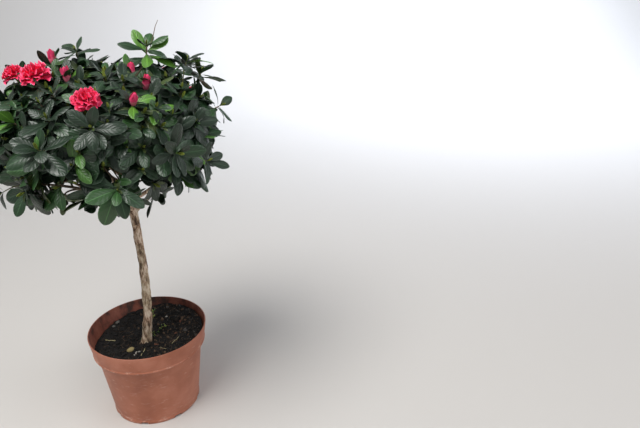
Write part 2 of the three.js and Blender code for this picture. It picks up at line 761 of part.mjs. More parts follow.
// One mass of foliage: its stem, then its twigs, then its flowers, and last the leaves of each shoot
function makeMass(mass) {
  const random = seeded(mass.seed);
  const { solid, wood } = ownStem(mass);
  const grown = [];
  const keep = (piece, shoot, isFlower) => {
    grown.push({ solid: piece, box: piece.boundingBox(), shoot, isFlower });
  };
  keep(solid, null, false);
  mass.shoots.sort((one, other) => one.point.distanceTo(mass.start) - other.point.distanceTo(mass.start));
  const rooted = mass.shoots.filter((shoot) => {
    shoot.twig = findTwig(mass, wood, shoot);
    return shoot.twig;
  });
  const solids = [solid];
  for (const shoot of rooted) {
    keep(limb(shoot.twig, () => TWIG_RADIUS, 3, TWIG_STEPS), shoot, false);
    for (const flower of flowerSolids(mass, shoot)) {
      keep(flower, shoot, true);
      solids.push(flower);
    }
  }
  for (const shoot of rooted) {
    const others = grown.filter((each) => each.shoot !== shoot || each.isFlower);
    const leaves = growLeaves(mass, shoot, random, others);
    const body = shootSolid(shoot, shoot.twig, TWIG_RADIUS, TWIG_TIP_RADIUS, leaves);
    keep(body, shoot, false);
    solids.push(body);
  }
  return fuse(solids);
}

const plastic = new THREE.MeshStandardMaterial({ color: 0xa5664f, roughness: 0.6, metalness: 0 });
const peat = new THREE.MeshStandardMaterial({ color: 0x241c17, roughness: 0.95, metalness: 0 });
const bark = new THREE.MeshStandardMaterial({ color: 0x7d6856, roughness: 0.85, metalness: 0 });
const leafGreen = new THREE.MeshStandardMaterial({ color: 0x2c4630, roughness: 0.5, metalness: 0 });

const shrub = new THREE.Group();
shrub.add(toMesh('pot', makePot(), plastic));
shrub.add(toMesh('soil', makeSoil(), peat));
shrub.add(toMesh('trunk', makeStem(0), bark));

const stemWithGap = makeStem(GAP);
for (const mass of boughMasses) {
  const bough = limb(mass.bough, mass.boughRadius, BOUGH_SIDES, BOUGH_STEPS);
  shrub.add(toMesh(`bough_${mass.name}`, largestBody(bough.subtract(stemWithGap)), bark));
}

const shoots = layOutShoots();
addFlowers(shoots);
shoots.push({ point: TALL_SHOOT, leaves: TALL_SHOOT_LEAVES, flower: null });
shareOut(shoots);
for (const mass of masses) {
  shrub.add(toMesh(`foliage_${mass.name}`, makeMass(mass), leafGreen));
}

export default shrub;
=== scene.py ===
"""A stem-grown azalea shrub in its pot: the looks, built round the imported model.

Shapes are worked out in millimetres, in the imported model's frame, and become metres in MeshParts.make.
"""

import math

import bpy
import numpy as np
from mathutils import Euler, Matrix, Vector, noise


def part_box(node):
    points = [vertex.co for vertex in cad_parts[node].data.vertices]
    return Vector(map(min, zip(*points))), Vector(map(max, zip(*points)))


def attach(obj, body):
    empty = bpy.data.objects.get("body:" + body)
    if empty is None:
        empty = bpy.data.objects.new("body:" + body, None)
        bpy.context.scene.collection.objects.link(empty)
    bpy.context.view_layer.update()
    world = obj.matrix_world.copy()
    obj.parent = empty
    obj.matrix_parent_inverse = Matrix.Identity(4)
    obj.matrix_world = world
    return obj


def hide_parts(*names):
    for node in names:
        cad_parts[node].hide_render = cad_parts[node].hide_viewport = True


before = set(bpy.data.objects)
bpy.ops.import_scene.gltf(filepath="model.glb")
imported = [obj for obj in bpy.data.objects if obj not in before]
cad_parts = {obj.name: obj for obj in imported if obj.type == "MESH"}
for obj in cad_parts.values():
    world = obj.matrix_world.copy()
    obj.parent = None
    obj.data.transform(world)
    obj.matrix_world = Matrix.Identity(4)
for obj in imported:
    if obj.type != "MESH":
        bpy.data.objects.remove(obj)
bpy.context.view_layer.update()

MM = 0.001

# The photograph's frame and its camera
IMAGE_WIDTH = 640
FOCAL_PIXELS = 575
SENSOR_WIDTH = 36
CAMERA_PLACE = (0, -777, 606)
CAMERA_HEADING = 19.5
CAMERA_PITCH = 22.3
CAMERA_ROLL = -0.8

# Pot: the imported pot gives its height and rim
POT_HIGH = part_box("pot")[1] / MM
POT_HEIGHT = POT_HIGH.z
RIM_RADIUS = POT_HIGH.x
COLLAR_HEIGHT = 28
COLLAR_FOOT_RADIUS = 80.5
BODY_TOP_RADIUS = 76
BASE_RADIUS = 63
WALL = 1.8
BEAD = 1
FOOT_HEIGHT = 5
FOOT_RING_WIDTH = 8
CENTRE_PAD_RADIUS = 40
FOOT_SLOPE = 3
DRAIN_SLOTS = 8
SLOT_WIDTH = 10
SLOT_HEIGHT = 3.5
POT_COLUMNS = 176
SLOT_EDGE_ANGLE = 0.0004
CORNER_CUT = 0.9
CORNER_STEPS = 3

# Soil, which lies higher at the right and the back
SOIL_AT_STEM = 111
SOIL_RISE_RIGHT = 0.13
SOIL_RISE_BACK = 0.045
SOIL_LOWEST = 105
SOIL_HIGHEST = 122
SOIL_BUMP = 0.8
BUMPS_ACROSS = 0.21
BUMPS_DEEP = 0.17
BUMPS_ASLANT = 0.11
SOIL_MOUND = 1.5
MOUND_REACH = 22
SOIL_RINGS = 56
SOIL_COLUMNS = 160
SOIL_LUMPS = 1.5
SOIL_GRAINS = 0.7
LUMP_FINENESS = 0.11
LUMP_FADE = 0.8
LUMP_STEP = 2.1
LUMP_LAYERS = 5
GRAIN_FINENESS = 0.5

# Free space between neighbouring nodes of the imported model
GAP = 0.3

# Loose crumbs of peat and bark and thin roots on the soil, and the shares of the crumbs' colours
CRUMBS = 3000
FOOT_CRUMBS = 110
CRUMB_SHARES = [0.55, 0.86, 1.08]
LEAST_CRUMB = 0.55
LARGEST_CRUMB = 2.7
LARGEST_FOOT_CRUMB = 1.4
FOOT_CRUMB_REACH = 5
CRUMB_MARGIN = 3
CRUMB_RARITY = 2.2
CRUMB_STRETCHES = (0.6, 1.5)
CRUMB_ROUGHNESS = (0.7, 1.15)
CRUMB_RAISE = 0.35
# Crumbs grow paler towards the right: painted highlight on the lumps there
CRUMB_HIGHLIGHT_RIGHT = 0.3
FIBRES = 170
FIBRE_STEPS = 6
FIBRE_LENGTHS = (5, 20)
FIBRE_RADII = (0.16, 0.34)
FIBRE_CURL = 1.2
FIBRE_MARGIN = 8
FIBRE_SIDES = 4
FIBRE_LIFT = 0.5
FIBRE_ARCH = 1.1
PALE_FIBRE_SHARE = 0.4

# Things that lie in the soil: place, half sizes, turn in degrees, and the number of the material
BITS = [
    ((-28, -25), (6, 4, 3.2), 20, 0),
    ((-21, -35), (2.6, 1.6, 1), 70, 1),
    ((-17, -32), (1.8, 1.2, 0.8), 10, 1),
    ((-24, -38), (1.6, 1.1, 0.8), 120, 1),
    ((-44, 56), (4.5, 2.6, 2), 50, 2),
    ((-50, 49), (2.6, 1.8, 1.4), 20, 2),
    ((8, -28), (3.6, 2.4, 1.2), 0, 3),
    ((4, 20), (2.4, 1.6, 1), 0, 1),
    ((30, 34), (3.2, 1.4, 1), 30, 1),
    ((48, 12), (3, 1.8, 1.2), 75, 3),
    ((38, -14), (2.4, 1.8, 1.2), 15, 3),
    ((-36, 14), (2.2, 1.4, 0.9), 45, 3),
]
BIT_ROWS = 8
BIT_SIDES = 14
BIT_ROUGHNESS = (0.9, 1.1)
BIT_LEAN = 0.3
BIT_RAISE = 0.5

# Straws on the soil: both ends and radius
STRAWS = [
    ((-66, 22), (-49, 13), 0.55),
    ((29, -40), (42, -28), 0.35),
    ((12, -38), (20, -47), 0.35),
    ((-8, -30), (-15, -44), 0.5),
]
STRAW_STEPS = 8
STRAW_LIFT = 1.2
STRAW_SLOT = 4

# Stem
STEM_LINE = [
    (-4.6, -14, SOIL_AT_STEM),
    (3.2, -13, 165),
    (5.7, -12, 228),
    (4.6, -11, 284),
    (2, -9, 335),
    (-3, -7, 374),
]
STEM_RADIUS = 6.2
STEM_TOP_RADIUS = 5.4
STEM_FORK_HEIGHT = 312
STEM_TIP_RADIUS = 2.8
FLARE = 2.2
FLARE_HEIGHT = 8
STRETCH_STEPS = 40
LIMB_STRETCHES = 15
STEM_SIDES = 72
STEM_STEPS = 210
BARK_DEPTH = 0.62
LOBES = 3
LOBE_DEPTH = 0.25
LOBE_TWIST = 0.013

# The bark's relief: what each noise adds, and how fast it changes across the stem and along it
BARK_NOISES = [
    (1.1, 0.75, 0.07),
    (0.6, 1.9, 0.19),
    (0.9, 0.3, 0.13),
    (1, 0.045, 0.045),
]
BOUGH_NOISES = [(0.28, 0.35), (0.1, 1.3)]

# Knots and scars of the stem: height, bearing in degrees, how far each stands out, and its reach
KNOTS = [
    (318, -120, 2.6, 3.6),
    (295, -112, -2.2, 2.2),
    (300, -100, 1.1, 4),
    (260, -60, -1.3, 2),
    (266, -70, 0.9, 3.5),
    (226, -170, 0.9, 4),
    (212, -80, -1, 2.2),
    (190, -95, 0.9, 3.6),
    (158, -35, 1.1, 4),
    (205, 60, 1.4, 4),
    (280, 120, 1.2, 4),
    (140, 150, 1.3, 4),
]

# A young side shoot on the stem, and the places and sizes of moss sprouts round its foot
SIDE_SHOOT_HEIGHT = 143
SIDE_SHOOT_SUNK = 0.5
SIDE_SHOOT_PULL = Vector((2.4, 0, 6))
SIDE_SHOOT_TIP = Vector((2.6, -1, 15))
SIDE_SHOOT_RADIUS = 0.55
SIDE_SHOOT_LEAN = 0.2
SIDE_SHOOT_LEAVES = 7
SIDE_SHOOT_BARE_SHARE = 0.3
SIDE_SHOOT_PITCHES = (48, 18)
SIDE_SHOOT_LENGTHS = (6, 9.5)
SIDE_SHOOT_WIDTH = 0.42
SPROUTS = [
    (3, -3, 5.5), (8, 1, 4.5), (12, 3, 5),
    (17, 6, 4), (22, 9, 5.5), (25, 7, 4),
    (-11, -8, 3.5), (7, -8, 4.5), (1, 4, 4),
]
SPROUT_LEAVES = 6
SPROUT_PITCHES = (15, 60)
SPROUT_LENGTHS = (0.6, 1.1)
SPROUT_WIDTH = 0.5
SPROUT_BEND = 0.7
SPRIG_TINTS = ["fresh", "young", "bright"]

# Head: the outline that its leaf tips reach
HEAD_CENTRE = Vector((-14, -6, 418))
HEAD_HALF_WIDTH = 143
HEAD_HALF_DEPTH = 137
HEAD_RISE = 97
HEAD_DROP = 77
HEAD_SQUARENESS = 2.7

# Leafy shoots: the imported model's shells, then finer shells between and behind them
SHOOT_DEPTH = 23
SHOOT_JITTER = 4
SHOOT_LIFT = 0.25
BARE_RADIUS = 46
BARE_HEIGHT = 372
SHELLS = [
    dict(count=138, scale=1, lowest=-0.86, highest=1, turn=0, leaves=8),
    dict(count=15, scale=0.62, lowest=-0.45, highest=0.4, turn=1.1, leaves=6),
]
FINE_SHELLS = [
    dict(count=210, scale=0.99, lowest=-0.8, highest=1, turn=0.6, leaves=7),
    dict(count=150, scale=0.84, lowest=-0.62, highest=0.95, turn=1.7, leaves=7),
    dict(count=60, scale=0.66, lowest=-0.4, highest=0.8, turn=2.3, leaves=6),
]
FINE_SPACING = 14
THIN_BELOW = 392
THIN_SHARE = 0.5
SPARSE_BELOW = 378
SPARSE_LEAVES = 6
FACING_SHAKE = 0.42
FACING_LIFT = 0.18

# The tallest shoot, and the bare stalk that stands up out of it
TALL_SHOOT = Vector((50, -10, 525))
TALL_SHOOT_LEAVES = 18
TALL_SHOOT_RUN = 26
TALL_SHOOT_SIZE = 1.22
TALL_SHOOT_FACING = Vector((0.08, -0.5, 1)).normalized()
BARE_TIP = [Vector((51, -10, 530)), Vector((57, -10, 545)), Vector((60, -9, 554)), Vector((64, -8, 561))]
BARE_TIP_RADII = [0.7, 0.55, 0.45, 0.35]

# Rosettes that stand out of the rest: the places of their tips, and how large their leaves are
PROUD_SHOOTS = [
    (-11, -132, 392, 1.22),
    (-80, -124, 441, 1.1),
    (-26, -130, 460, 1.1),
    (60, -124, 419, 1.1),
    (-134, -52, 380, 1),
    (-48, -112, 400, 1),
    (92, -96, 402, 1),
    (-67, -104, 386, 1.12),
    (-104, -92, 390, 1),
    (-62, 5, 500, 1.05),
    (-36, 30, 520, 1.05),
    (92, -8, 505, 1.1),
    (112, 18, 486, 1.05),
    (118, -34, 452, 1.1),
    (98, 60, 492, 1),
    (-105, 62, 488, 1),
    (-30, 96, 496, 1.1),
    (40, 112, 458, 1),
]
PROUD_LEAVES = 9

# Places where the foliage stands open: a middle and how far round it no fine shoot grows
OPEN_PLACES = [
    (Vector((-36, -92, 372)), 24),
    (Vector((44, -90, 372)), 30),
    (Vector((-104, -62, 372)), 20),
    (Vector((92, 30, 372)), 26),
    (Vector((-70, 70, 370)), 28),
    (Vector((20, 96, 372)), 24),
]

# Gaps that the sky shows through: two points of each line of sight, and how far round it no leaf grows
SKY_GAPS = [
    (Vector((-14, -110, 404)), Vector((-18, 80, 346)), 9),
    (Vector((-81, -110, 398)), Vector((-104, 80, 339)), 7),
    (Vector((-58, -110, 392)), Vector((-74, 80, 331)), 8),
    (Vector((19, -110, 388)), Vector((24, 80, 325)), 8),
    (Vector((-123, -110, 397)), Vector((-158, 80, 337)), 7),
]

# Where a bright young leaf or two shows on the nearest rosette
BRIGHT_PLACES = [
    (-46, -120, 466),
    (59, -100, 473),
    (-117, -90, 450),
    (77, -95, 417),
    (13, -115, 481),
    (111, -10, 514),
    (42, -10, 538),
    (-53, -45, 517),
    (-34, -20, 520),
]

# Masses of foliage on their boughs
MASS_RINGS = [
    dict(
        name="lower", count=7, turn=0.25, radius=102, height=388,
        fork=315, fork_step=4.6, fork_stride=3, bough_radius=3.3, bough_share=0.52,
    ),
    dict(
        name="upper", count=5, turn=0, radius=88, height=446,
        fork=351, fork_step=3.6, fork_stride=2, bough_radius=2.5, bough_share=0.5,
    ),
]
TOP_MASS_HEIGHT = 480
BOUGH_TIP_RADIUS = 2
BOUGH_SAG = 5
BOUGH_STRETCHES = 4
BOUGH_SIDES = 20
BOUGH_STEPS = 36

# Twigs
TWIG_RADIUS = 1.3
TWIG_TIP_RADIUS = 0.9
FINE_TWIG_SHARE = 0.72
LENGTH_STEPS = 16
TWIG_BEND = 0.4
TURN_BACK_COST = 0.5
PATH_COST = 0.25
TWIG_TRIES = 6
TWIG_PROBES = 8
TWIG_STRETCHES = 2
OWN_STEM_STRETCHES = 3
RING_PROBES = 60
TWIG_SIDES = 6
TWIG_STEPS = 7
STEM_BUDS = [0.15, 0.4, 0.65, 0.9]
TWIG_BUDS = [0.4, 0.75]
TIP_BEYOND = 5
TIP_TAPER = 0.9
BORDER = 7.5

# Leaves
LEAF_LENGTH = 35
LEAF_WIDTH = 15.5
LEAF_RUN = 8
LEAF_ROOM = 1.2
LEAF_PROBES = [0.2, 0.4, 0.6, 0.8, 1]
LEAF_ROWS = np.array([0, 0.07, 0.18, 0.32, 0.47, 0.61, 0.74, 0.85, 0.93, 0.975, 1])
LEAF_COLUMNS = np.array([-1, -0.93, -0.5, -0.06, 0.06, 0.5, 0.93, 1])
MIDRIB_STRIP = 3
LEAST_HALF_WIDTH = 0.65
LEAF_LATENESS = 1.42
LEAF_TAPER = 0.88
LEAF_ROUNDNESS = 0.34
LEAST_LEAF_BEND = 0.02
LEAF_EDGE_DROP = 0.32
LEAF_WAVE = 0.09
LEAF_WAVE_TURN = 9
YOUNGEST_PITCH = 38
OLDEST_PITCH = 82
PITCH_POWER = 0.8
PITCH_SPREAD = 14
OPENNESS_SPREAD = 0.16
LEAF_ANGLE_SPREAD = 0.22
YOUNGEST_SIZE = 0.62
SIZE_POWER = 0.6
LEAF_SIZE_SPREAD = 0.18
LEAST_DROOP = 0.02
MOST_DROOP = 0.5
LEAF_WIDTHS = (0.86, 1.14)
LEAF_BENDS = (-0.1, 0.9)
LEAF_FOLDS = (0.02, 0.5)
LEAF_TWISTS = (-0.5, 0.5)

# The leaves' tints, and how they are dealt out: the shares of the first ones among the rosettes, and
# where a draw makes one leaf lighter or darker than its rosette
LEAF_COLORS = {
    "dark": (0.009, 0.024, 0.010),
    "deep": (0.013, 0.040, 0.013),
    "green": (0.024, 0.074, 0.017),
    "olive": (0.046, 0.072, 0.015),
    "fresh": (0.046, 0.128, 0.018),
    "bright": (0.078, 0.200, 0.020),
    "young": (0.260, 0.310, 0.050),
}
LEAF_TINTS = list(LEAF_COLORS)
TINT_SHARES = [0.45, 0.86, 0.96]
LIGHTER_BELOW = 0.22
DARKER_BELOW = 0.34
FRESH_SHARE = 0.09
FRESH_AGE = 0.4
BRIGHT_AGES = (0.25, 0.5)
MIDRIB_LIGHTER = 2.0
MIDRIB_PALER = 0.012
# The edge strip is lighter and paler than the blade: partly the leaf's own pale margin, partly painted sheen
# that the edges catch
RIM_SHEEN_LIGHTER = 1.7
RIM_SHEEN_PALER = 0.03
PALEST_LEAF = 0.6
SIDE_VEINS = 3.5
SIDE_VEIN_LEAN = 2.2

# The bud of small leaves at the middle of a rosette: some closed, then some that open
BUD_LEAVES = 5
CLOSED_BUD_LEAVES = 3
BUD_LEAF_LENGTH = 8
BUD_LEAF_SPREAD = 5
BUD_LEAF_FOLD = 0.6
FRESH_BUD_SHARE = 0.3
CLOSED_LEAF_PITCH = 7
CLOSED_LEAF_WIDTH = 0.3
CLOSED_LEAF_BEND = -0.25
OPEN_LEAF_PITCHES = (28, 36)
OPEN_LEAF_SIZES = (0.8, 1.2)
OPEN_LEAF_WIDTH = 0.34

# Flowers, and a leafy shoot at the right, by their bearing and height round the head, in degrees, and
# how far they stand out of it
FLOWERS = [
    dict(kind="bloom", bearing=-160, height=48, proud=8, size=1.05),
    dict(kind="bloom", bearing=-98, height=32, proud=6, size=0.88),
    dict(kind="bloom", bearing=175, height=40, proud=14, size=0.8),
    dict(kind="bloom", bearing=62, height=18, proud=5),
    dict(kind="bloom", bearing=28, height=12, proud=5),
    dict(kind="bud", bearing=180, height=63, proud=22),
    dict(kind="bud", bearing=-134, height=58, proud=4),
    dict(kind="bud", bearing=-38, height=59, proud=4),
    dict(kind="bud", bearing=-53, height=40, proud=4),
    dict(kind="bud", bearing=-71, height=30, proud=4),
    dict(kind="bud", bearing=40, height=30, proud=4),
    dict(kind="bud", bearing=95, height=25, proud=4),
    dict(kind="bud", bearing=125, height=30, proud=4),
    dict(kind="leafy", bearing=-12, height=14, proud=23),
]
PETAL_ROUNDS = [
    dict(petals=6, pitch=76, length=19, width=20, ahead=7, bend=0.6, ruffle=1.2),
    dict(petals=7, pitch=58, length=19, width=18, ahead=8, bend=0.5, ruffle=1.6),
    dict(petals=7, pitch=42, length=18, width=16, ahead=8.5, bend=0.4, ruffle=1.9),
    dict(petals=7, pitch=27, length=17, width=14, ahead=9, bend=0.3, ruffle=2),
    dict(petals=5, pitch=11, length=15, width=11, ahead=9.5, bend=0.1, ruffle=1.8),
]
BLOOM_MIDDLE = 17
BLOOM_REACH = 17
ROUND_TURN = 0.55
PETAL_ANGLE_SPREAD = 0.15
PETAL_PITCH_SPREAD = 7
PETAL_LENGTH_SPREAD = 0.08
PETAL_ROWS = np.array([0, 0.15, 0.3, 0.44, 0.58, 0.7, 0.81, 0.9, 0.96, 1])
PETAL_COLUMNS = np.linspace(-1, 1, 12)
PETAL_EDGE_ROWS = 2
PETAL_FOOT_WIDTH = 0.12
PETAL_BROADENING = 0.7
PETAL_END_NARROWING = 0.3
PETAL_ROUNDNESS = 0.24
PETAL_CUP = 0.25
PETAL_FRILL = 0.5
PETAL_RIPPLES = [(1, 5.2, 1), (0.6, 9.5, 2.3)]
LARGEST_PHASE = 6
STALK_SHARES = [0, 0.4, 0.7, 1]
STALK_RADII = [1, 1.1, 1.7, 2.6]
STALK_SIDES = 10
STALK_REACH = 8
SEPALS = 5
SEPAL_PITCH = 24
SEPAL_WIDTH = 0.42
SEPAL_ANGLE_SPREAD = 0.1
BLOOM_SEPALS = dict(ahead=5, length=7)
BUD_SEPALS = dict(ahead=1.5, length=10)
BUD_PETALS = dict(petals=4, length=17, width=10, ahead=3, bend=-0.35, ruffle=0.5)
FLOWER_BUD_RADIUS = 4.3
FLOWER_BUD_LENGTH = 18
FLOWER_BUD_ROWS = 14
FLOWER_BUD_SIDES = 20
FLOWER_BUD_FOLDS = 5
FLOWER_BUD_FOLD_DEPTH = 0.13
FLOWER_BUD_FOOT_SHARE = 0.45
FLOWER_BUD_START = 2
FLOWER_BUD_POINT = 1
FLOWER_BUD_OUTLINE = (0.12, 0.92)
FLOWER_BUD_TWIST = 4
FLOWER_BUD_PITCHES = (6, 15)
BUD_PETAL_OUT = 0.55
BUD_PETAL_LENGTH_SPREAD = 0.1

# Materials of the flowers and of their cups, by their places in the two lists
PETAL, PETAL_EDGE, BUD_FOOT, BUD_PETAL = range(4)
STALK, SEPAL = range(2)

# Seeds of the random draws
SHOOT_SEED = 41
FINE_SEED = 77
MASS_SEED = 300
FLOWER_SEED = 350
SOIL_SEED = 5
SPRIG_SEED = 9

# Stage: the floor and backdrop in millimetres, the lights in metres and watts
FLOOR_FRONT = -2500
FLOOR_BACK = 2600
FLOOR_SIDE = 4500
BACKDROP_CURVE = 900
BACKDROP_STEPS = 16
BACKDROP_HEIGHT = 3200
LIGHTS = [
    dict(
        name="key", place=(-0.7, -0.6, 2.1), target=(0, 0, 0.35), size=1.3, power=46,
        color=(1, 0.99, 0.97),
    ),
    dict(
        name="fill", place=(1.7, -1.1, 1.3), target=(0, 0, 0.2), size=1.6, power=14,
        color=(0.97, 0.97, 1),
    ),
    dict(
        name="wall_wash", place=(1.9, 1.2, 2.4), target=(2.1, 2.6, 0.2), size=3, power=75,
        color=(0.78, 0.86, 1), spread_angle=110,
    ),
]

GOLDEN_ANGLE = math.pi * (3 - math.sqrt(5))
FULL_TURN = 2 * math.pi
RIGHT = Vector((1, 0, 0))
BACK = Vector((0, 1, 0))
UP = Vector((0, 0, 1))


def lerp(low, high, share):
    return low + (high - low) * share


def seeded(seed):
    """Repeatable random numbers from 0 to 1."""
    state = seed

    def draw():
        nonlocal state
        state = state * 16807 % 2147483647
        return state / 2147483647

    return draw


def spread(random, size):
    return (random() * 2 - 1) * size


class MeshParts:
    """Collects the points and faces of one joined mesh."""

    def __init__(self):
        self.points = []
        self.faces = []
        self.slots = []
        self.maps = []
        self.count = 0

    def add(self, points, faces, slot=0, mapped=None):
        """Adds points and the faces between them. slot is one number, or one for each face."""
        points = np.asarray(points, float).reshape(-1, 3)
        faces = np.asarray(faces, int)
        self.points.append(points)
        self.faces.extend((faces + self.count).tolist())
        self.slots.append(np.broadcast_to(slot, len(faces)))
        self.maps.append(np.zeros((len(points), 2)) if mapped is None else np.asarray(mapped).reshape(-1, 2))
        self.count += len(points)

    def add_mixed(self, points, faces, slot=0):
        """Adds points and faces with different numbers of corners."""
        points = np.array(points, float).reshape(-1, 3)
        self.points.append(points)
        self.faces.extend([[corner + self.count for corner in face] for face in faces])
        self.slots.append(np.broadcast_to(slot, len(faces)))
        self.maps.append(np.zeros((len(points), 2)))
        self.count += len(points)

    def make(self, name, materials, sharp_angle=None):
        """The object of all that was added, smooth, with edges sharper than sharp_angle kept sharp."""
        mesh = bpy.data.meshes.new(name)
        mesh.from_pydata((np.concatenate(self.points) * MM).tolist(), [], self.faces)
        for material in materials:
            mesh.materials.append(material)
        mesh.polygons.foreach_set("material_index", np.concatenate(self.slots).astype(np.int32))
        mesh.polygons.foreach_set("use_smooth", np.ones(len(self.faces), bool))
        corners = np.empty(len(mesh.loops), np.int32)
        mesh.loops.foreach_get("vertex_index", corners)
        mapped = mesh.uv_layers.new(name="surface")
        mapped.data.foreach_set("uv", np.concatenate(self.maps)[corners].astype(np.float32).ravel())
        if sharp_angle is not None:
            mesh.set_sharp_from_angle(angle=math.radians(sharp_angle))
        mesh.validate()
        made = bpy.data.objects.new(name, mesh)
        bpy.context.scene.collection.objects.link(made)
        return made


def grid_faces(rows, columns, closed=False):
    """Four-cornered faces between the points of a grid, which may close round on itself."""
    across = columns if closed else columns - 1
    row, column = np.meshgrid(np.arange(rows - 1), np.arange(across), indexing="ij")
    following = (column + 1) % columns
    faces = [row * columns + column, row * columns + following]
    faces += [(row + 1) * columns + following, (row + 1) * columns + column]
    return np.stack(faces, axis=-1).reshape(-1, 4)


def fan(first, sides, middle):
    """Three-cornered faces from a ring of points to the point in its middle."""
    return [[first + k, first + (k + 1) % sides, middle] for k in range(sides)]


def flipped(faces):
    return [face[::-1] for face in faces]


def fix(piece, node=None):
    """Fixes a piece to the plant's one body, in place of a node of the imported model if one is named."""
    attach(piece, "root")
    if node:
        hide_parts(node)


# Curves


class Bend:
    """A curve from one point to another, pulled towards a third."""

    def __init__(self, start, pull, end):
        self.start = start
        self.pull = pull
        self.end = end
        self.foot = start

    def point(self, share):
        left = 1 - share
        return self.start * (left * left) + self.pull * (2 * left * share) + self.end * (share * share)

    def tangent(self, share):
        return ((self.pull - self.start) * (1 - share) + (self.end - self.pull) * share).normalized()

    def points(self, steps):
        return [self.point(i / steps) for i in range(steps + 1)]

    def length(self):
        places = self.points(LENGTH_STEPS)
        return sum((other - one).length for one, other in zip(places, places[1:]))


def smooth_stretch(before, start, end, after, share):
    """A point of the smooth curve through four points, between the middle two."""
    step_before = (start - before).length_squared ** 0.25
    step = (end - start).length_squared ** 0.25
    step_after = (after - end).length_squared ** 0.25
    chord = (end - start) / step
    leaving = ((start - before) / step_before - (end - before) / (step_before + step) + chord) * step
    arriving = (chord - (after - start) / (step + step_after) + (after - end) / step_after) * step
    square = 3 * (end - start) - 2 * leaving - arriving
    cube = 2 * (start - end) + leaving + arriving
    return start + leaving * share + square * share ** 2 + cube * share ** 3


class SmoothLine:
    """The smooth curve through a list of points, by shares of its length."""

    def __init__(self, line):
        knots = [Vector(point) for point in line]
        knots = [knots[0] * 2 - knots[1], *knots, knots[-1] * 2 - knots[-2]]
        self.places = []
        for i in range(1, len(knots) - 2):
            stretch = knots[i - 1:i + 3]
            self.places += [smooth_stretch(*stretch, k / STRETCH_STEPS) for k in range(STRETCH_STEPS)]
        self.places.append(knots[-2])
        self.ways = [0]
        for one, other in zip(self.places, self.places[1:]):
            self.ways.append(self.ways[-1] + (other - one).length)

    def point(self, share):
        way = share * self.ways[-1]
        after = min(len(self.ways) - 1, max(1, int(np.searchsorted(self.ways, way))))
        part = (way - self.ways[after - 1]) / (self.ways[after] - self.ways[after - 1])
        return self.places[after - 1].lerp(self.places[after], part)

    def tangent(self, share):
        near = 0.002
        return (self.point(min(1, share + near)) - self.point(max(0, share - near))).normalized()

    def at_height(self, height):
        """The point of the line at a height, found by halving."""
        low = 0
        high = 1
        while high - low > 1e-6:
            middle = (low + high) / 2
            if self.point(middle).z < height:
                low = middle
            else:
                high = middle
        return self.point(low)


stem_line = SmoothLine(STEM_LINE)
stem_tip = stem_line.point(1)


def stem_radius(height):
    """Radius of the stem at a height, from the flare at its foot to its tip."""
    if height > STEM_FORK_HEIGHT:
        above = (height - STEM_FORK_HEIGHT) / (stem_tip.z - STEM_FORK_HEIGHT)
        return lerp(STEM_TOP_RADIUS, STEM_TIP_RADIUS, above)
    rise = height - SOIL_AT_STEM
    below = rise / (STEM_FORK_HEIGHT - SOIL_AT_STEM)
    return lerp(STEM_RADIUS, STEM_TOP_RADIUS, below) + FLARE * math.exp(-rise / FLARE_HEIGHT)


# The plant's skeleton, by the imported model's rule


class Mass:
    """One mass of foliage: its centre, its bough and the way its own stem starts."""

    def __init__(self, name, centre, start, along, start_radius):
        self.name = name
        self.centre = centre
        self.start = start
        self.along = along
        self.start_radius = start_radius
        self.bough = None
        self.bough_radius = None
        self.shoots = []
        self.twigs = []


class Shoot:
    """A twig's tip with its leaves, and its flower if it has one."""

    def __init__(self, point, leaves, fine=False):
        self.point = point
        self.leaves = leaves
        self.fine = fine
        self.flower = None
        self.bloom_size = 1
        self.axis = UP
        self.facing = None
        self.run = LEAF_RUN
        self.size = 1
        self.bright = False


def lay_out_masses():
    masses = []
    for ring in MASS_RINGS:
        for i in range(ring["count"]):
            bearing = ring["turn"] + i * FULL_TURN / ring["count"]
            centre = HEAD_CENTRE + Vector((math.cos(bearing), math.sin(bearing), 0)) * ring["radius"]
            centre.z = ring["height"]
            level = (i * ring["fork_stride"]) % ring["count"]
            fork = stem_line.at_height(ring["fork"] + level * ring["fork_step"])
            tip = fork.lerp(centre, ring["bough_share"])
            bend = fork.lerp(tip, 0.5) - UP * BOUGH_SAG
            name = f"{ring['name']}_{i + 1}"
            mass = Mass(name, centre, tip, (tip - bend).normalized(), BOUGH_TIP_RADIUS)
            mass.bough = Bend(fork, bend, tip)
            mass.bough_radius = ring["bough_radius"]
            masses.append(mass)
    centre = Vector((HEAD_CENTRE.x, HEAD_CENTRE.y, TOP_MASS_HEIGHT))
    masses.append(Mass("top", centre, stem_tip, stem_line.tangent(1), STEM_TIP_RADIUS))
    return masses


masses = lay_out_masses()
mass_centres = np.array([mass.centre for mass in masses])


def limb_stretches():
    """Starts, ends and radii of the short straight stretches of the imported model's limbs."""
    rows = []
    stem_points = [stem_line.point(i / LIMB_STRETCHES) for i in range(LIMB_STRETCHES + 1)]
    for one, other in zip(stem_points, stem_points[1:]):
        rows.append((*one, *other, stem_radius(one.z)))
    for mass in masses:
        if mass.bough:
            points = mass.bough.points(BOUGH_STRETCHES)
            for i in range(BOUGH_STRETCHES):
                radius = lerp(mass.bough_radius, BOUGH_TIP_RADIUS, i / BOUGH_STRETCHES)
                rows.append((*points[i], *points[i + 1], radius))
    rows = np.array(rows)
    return rows[:, :3], rows[:, 3:6], rows[:, 6]


stretch_starts, stretch_ends, stretch_radii = limb_stretches()


def clear_of_limbs(points, room):
    points = np.array(points)
    ways = stretch_ends - stretch_starts
    from_start = points[:, None, :] - stretch_starts
    shares = (from_start * ways).sum(-1) / (ways * ways).sum(-1)
    nearest = from_start - np.clip(shares, 0, 1)[..., None] * ways
    return bool((np.linalg.norm(nearest, axis=-1) > stretch_radii + room).all())


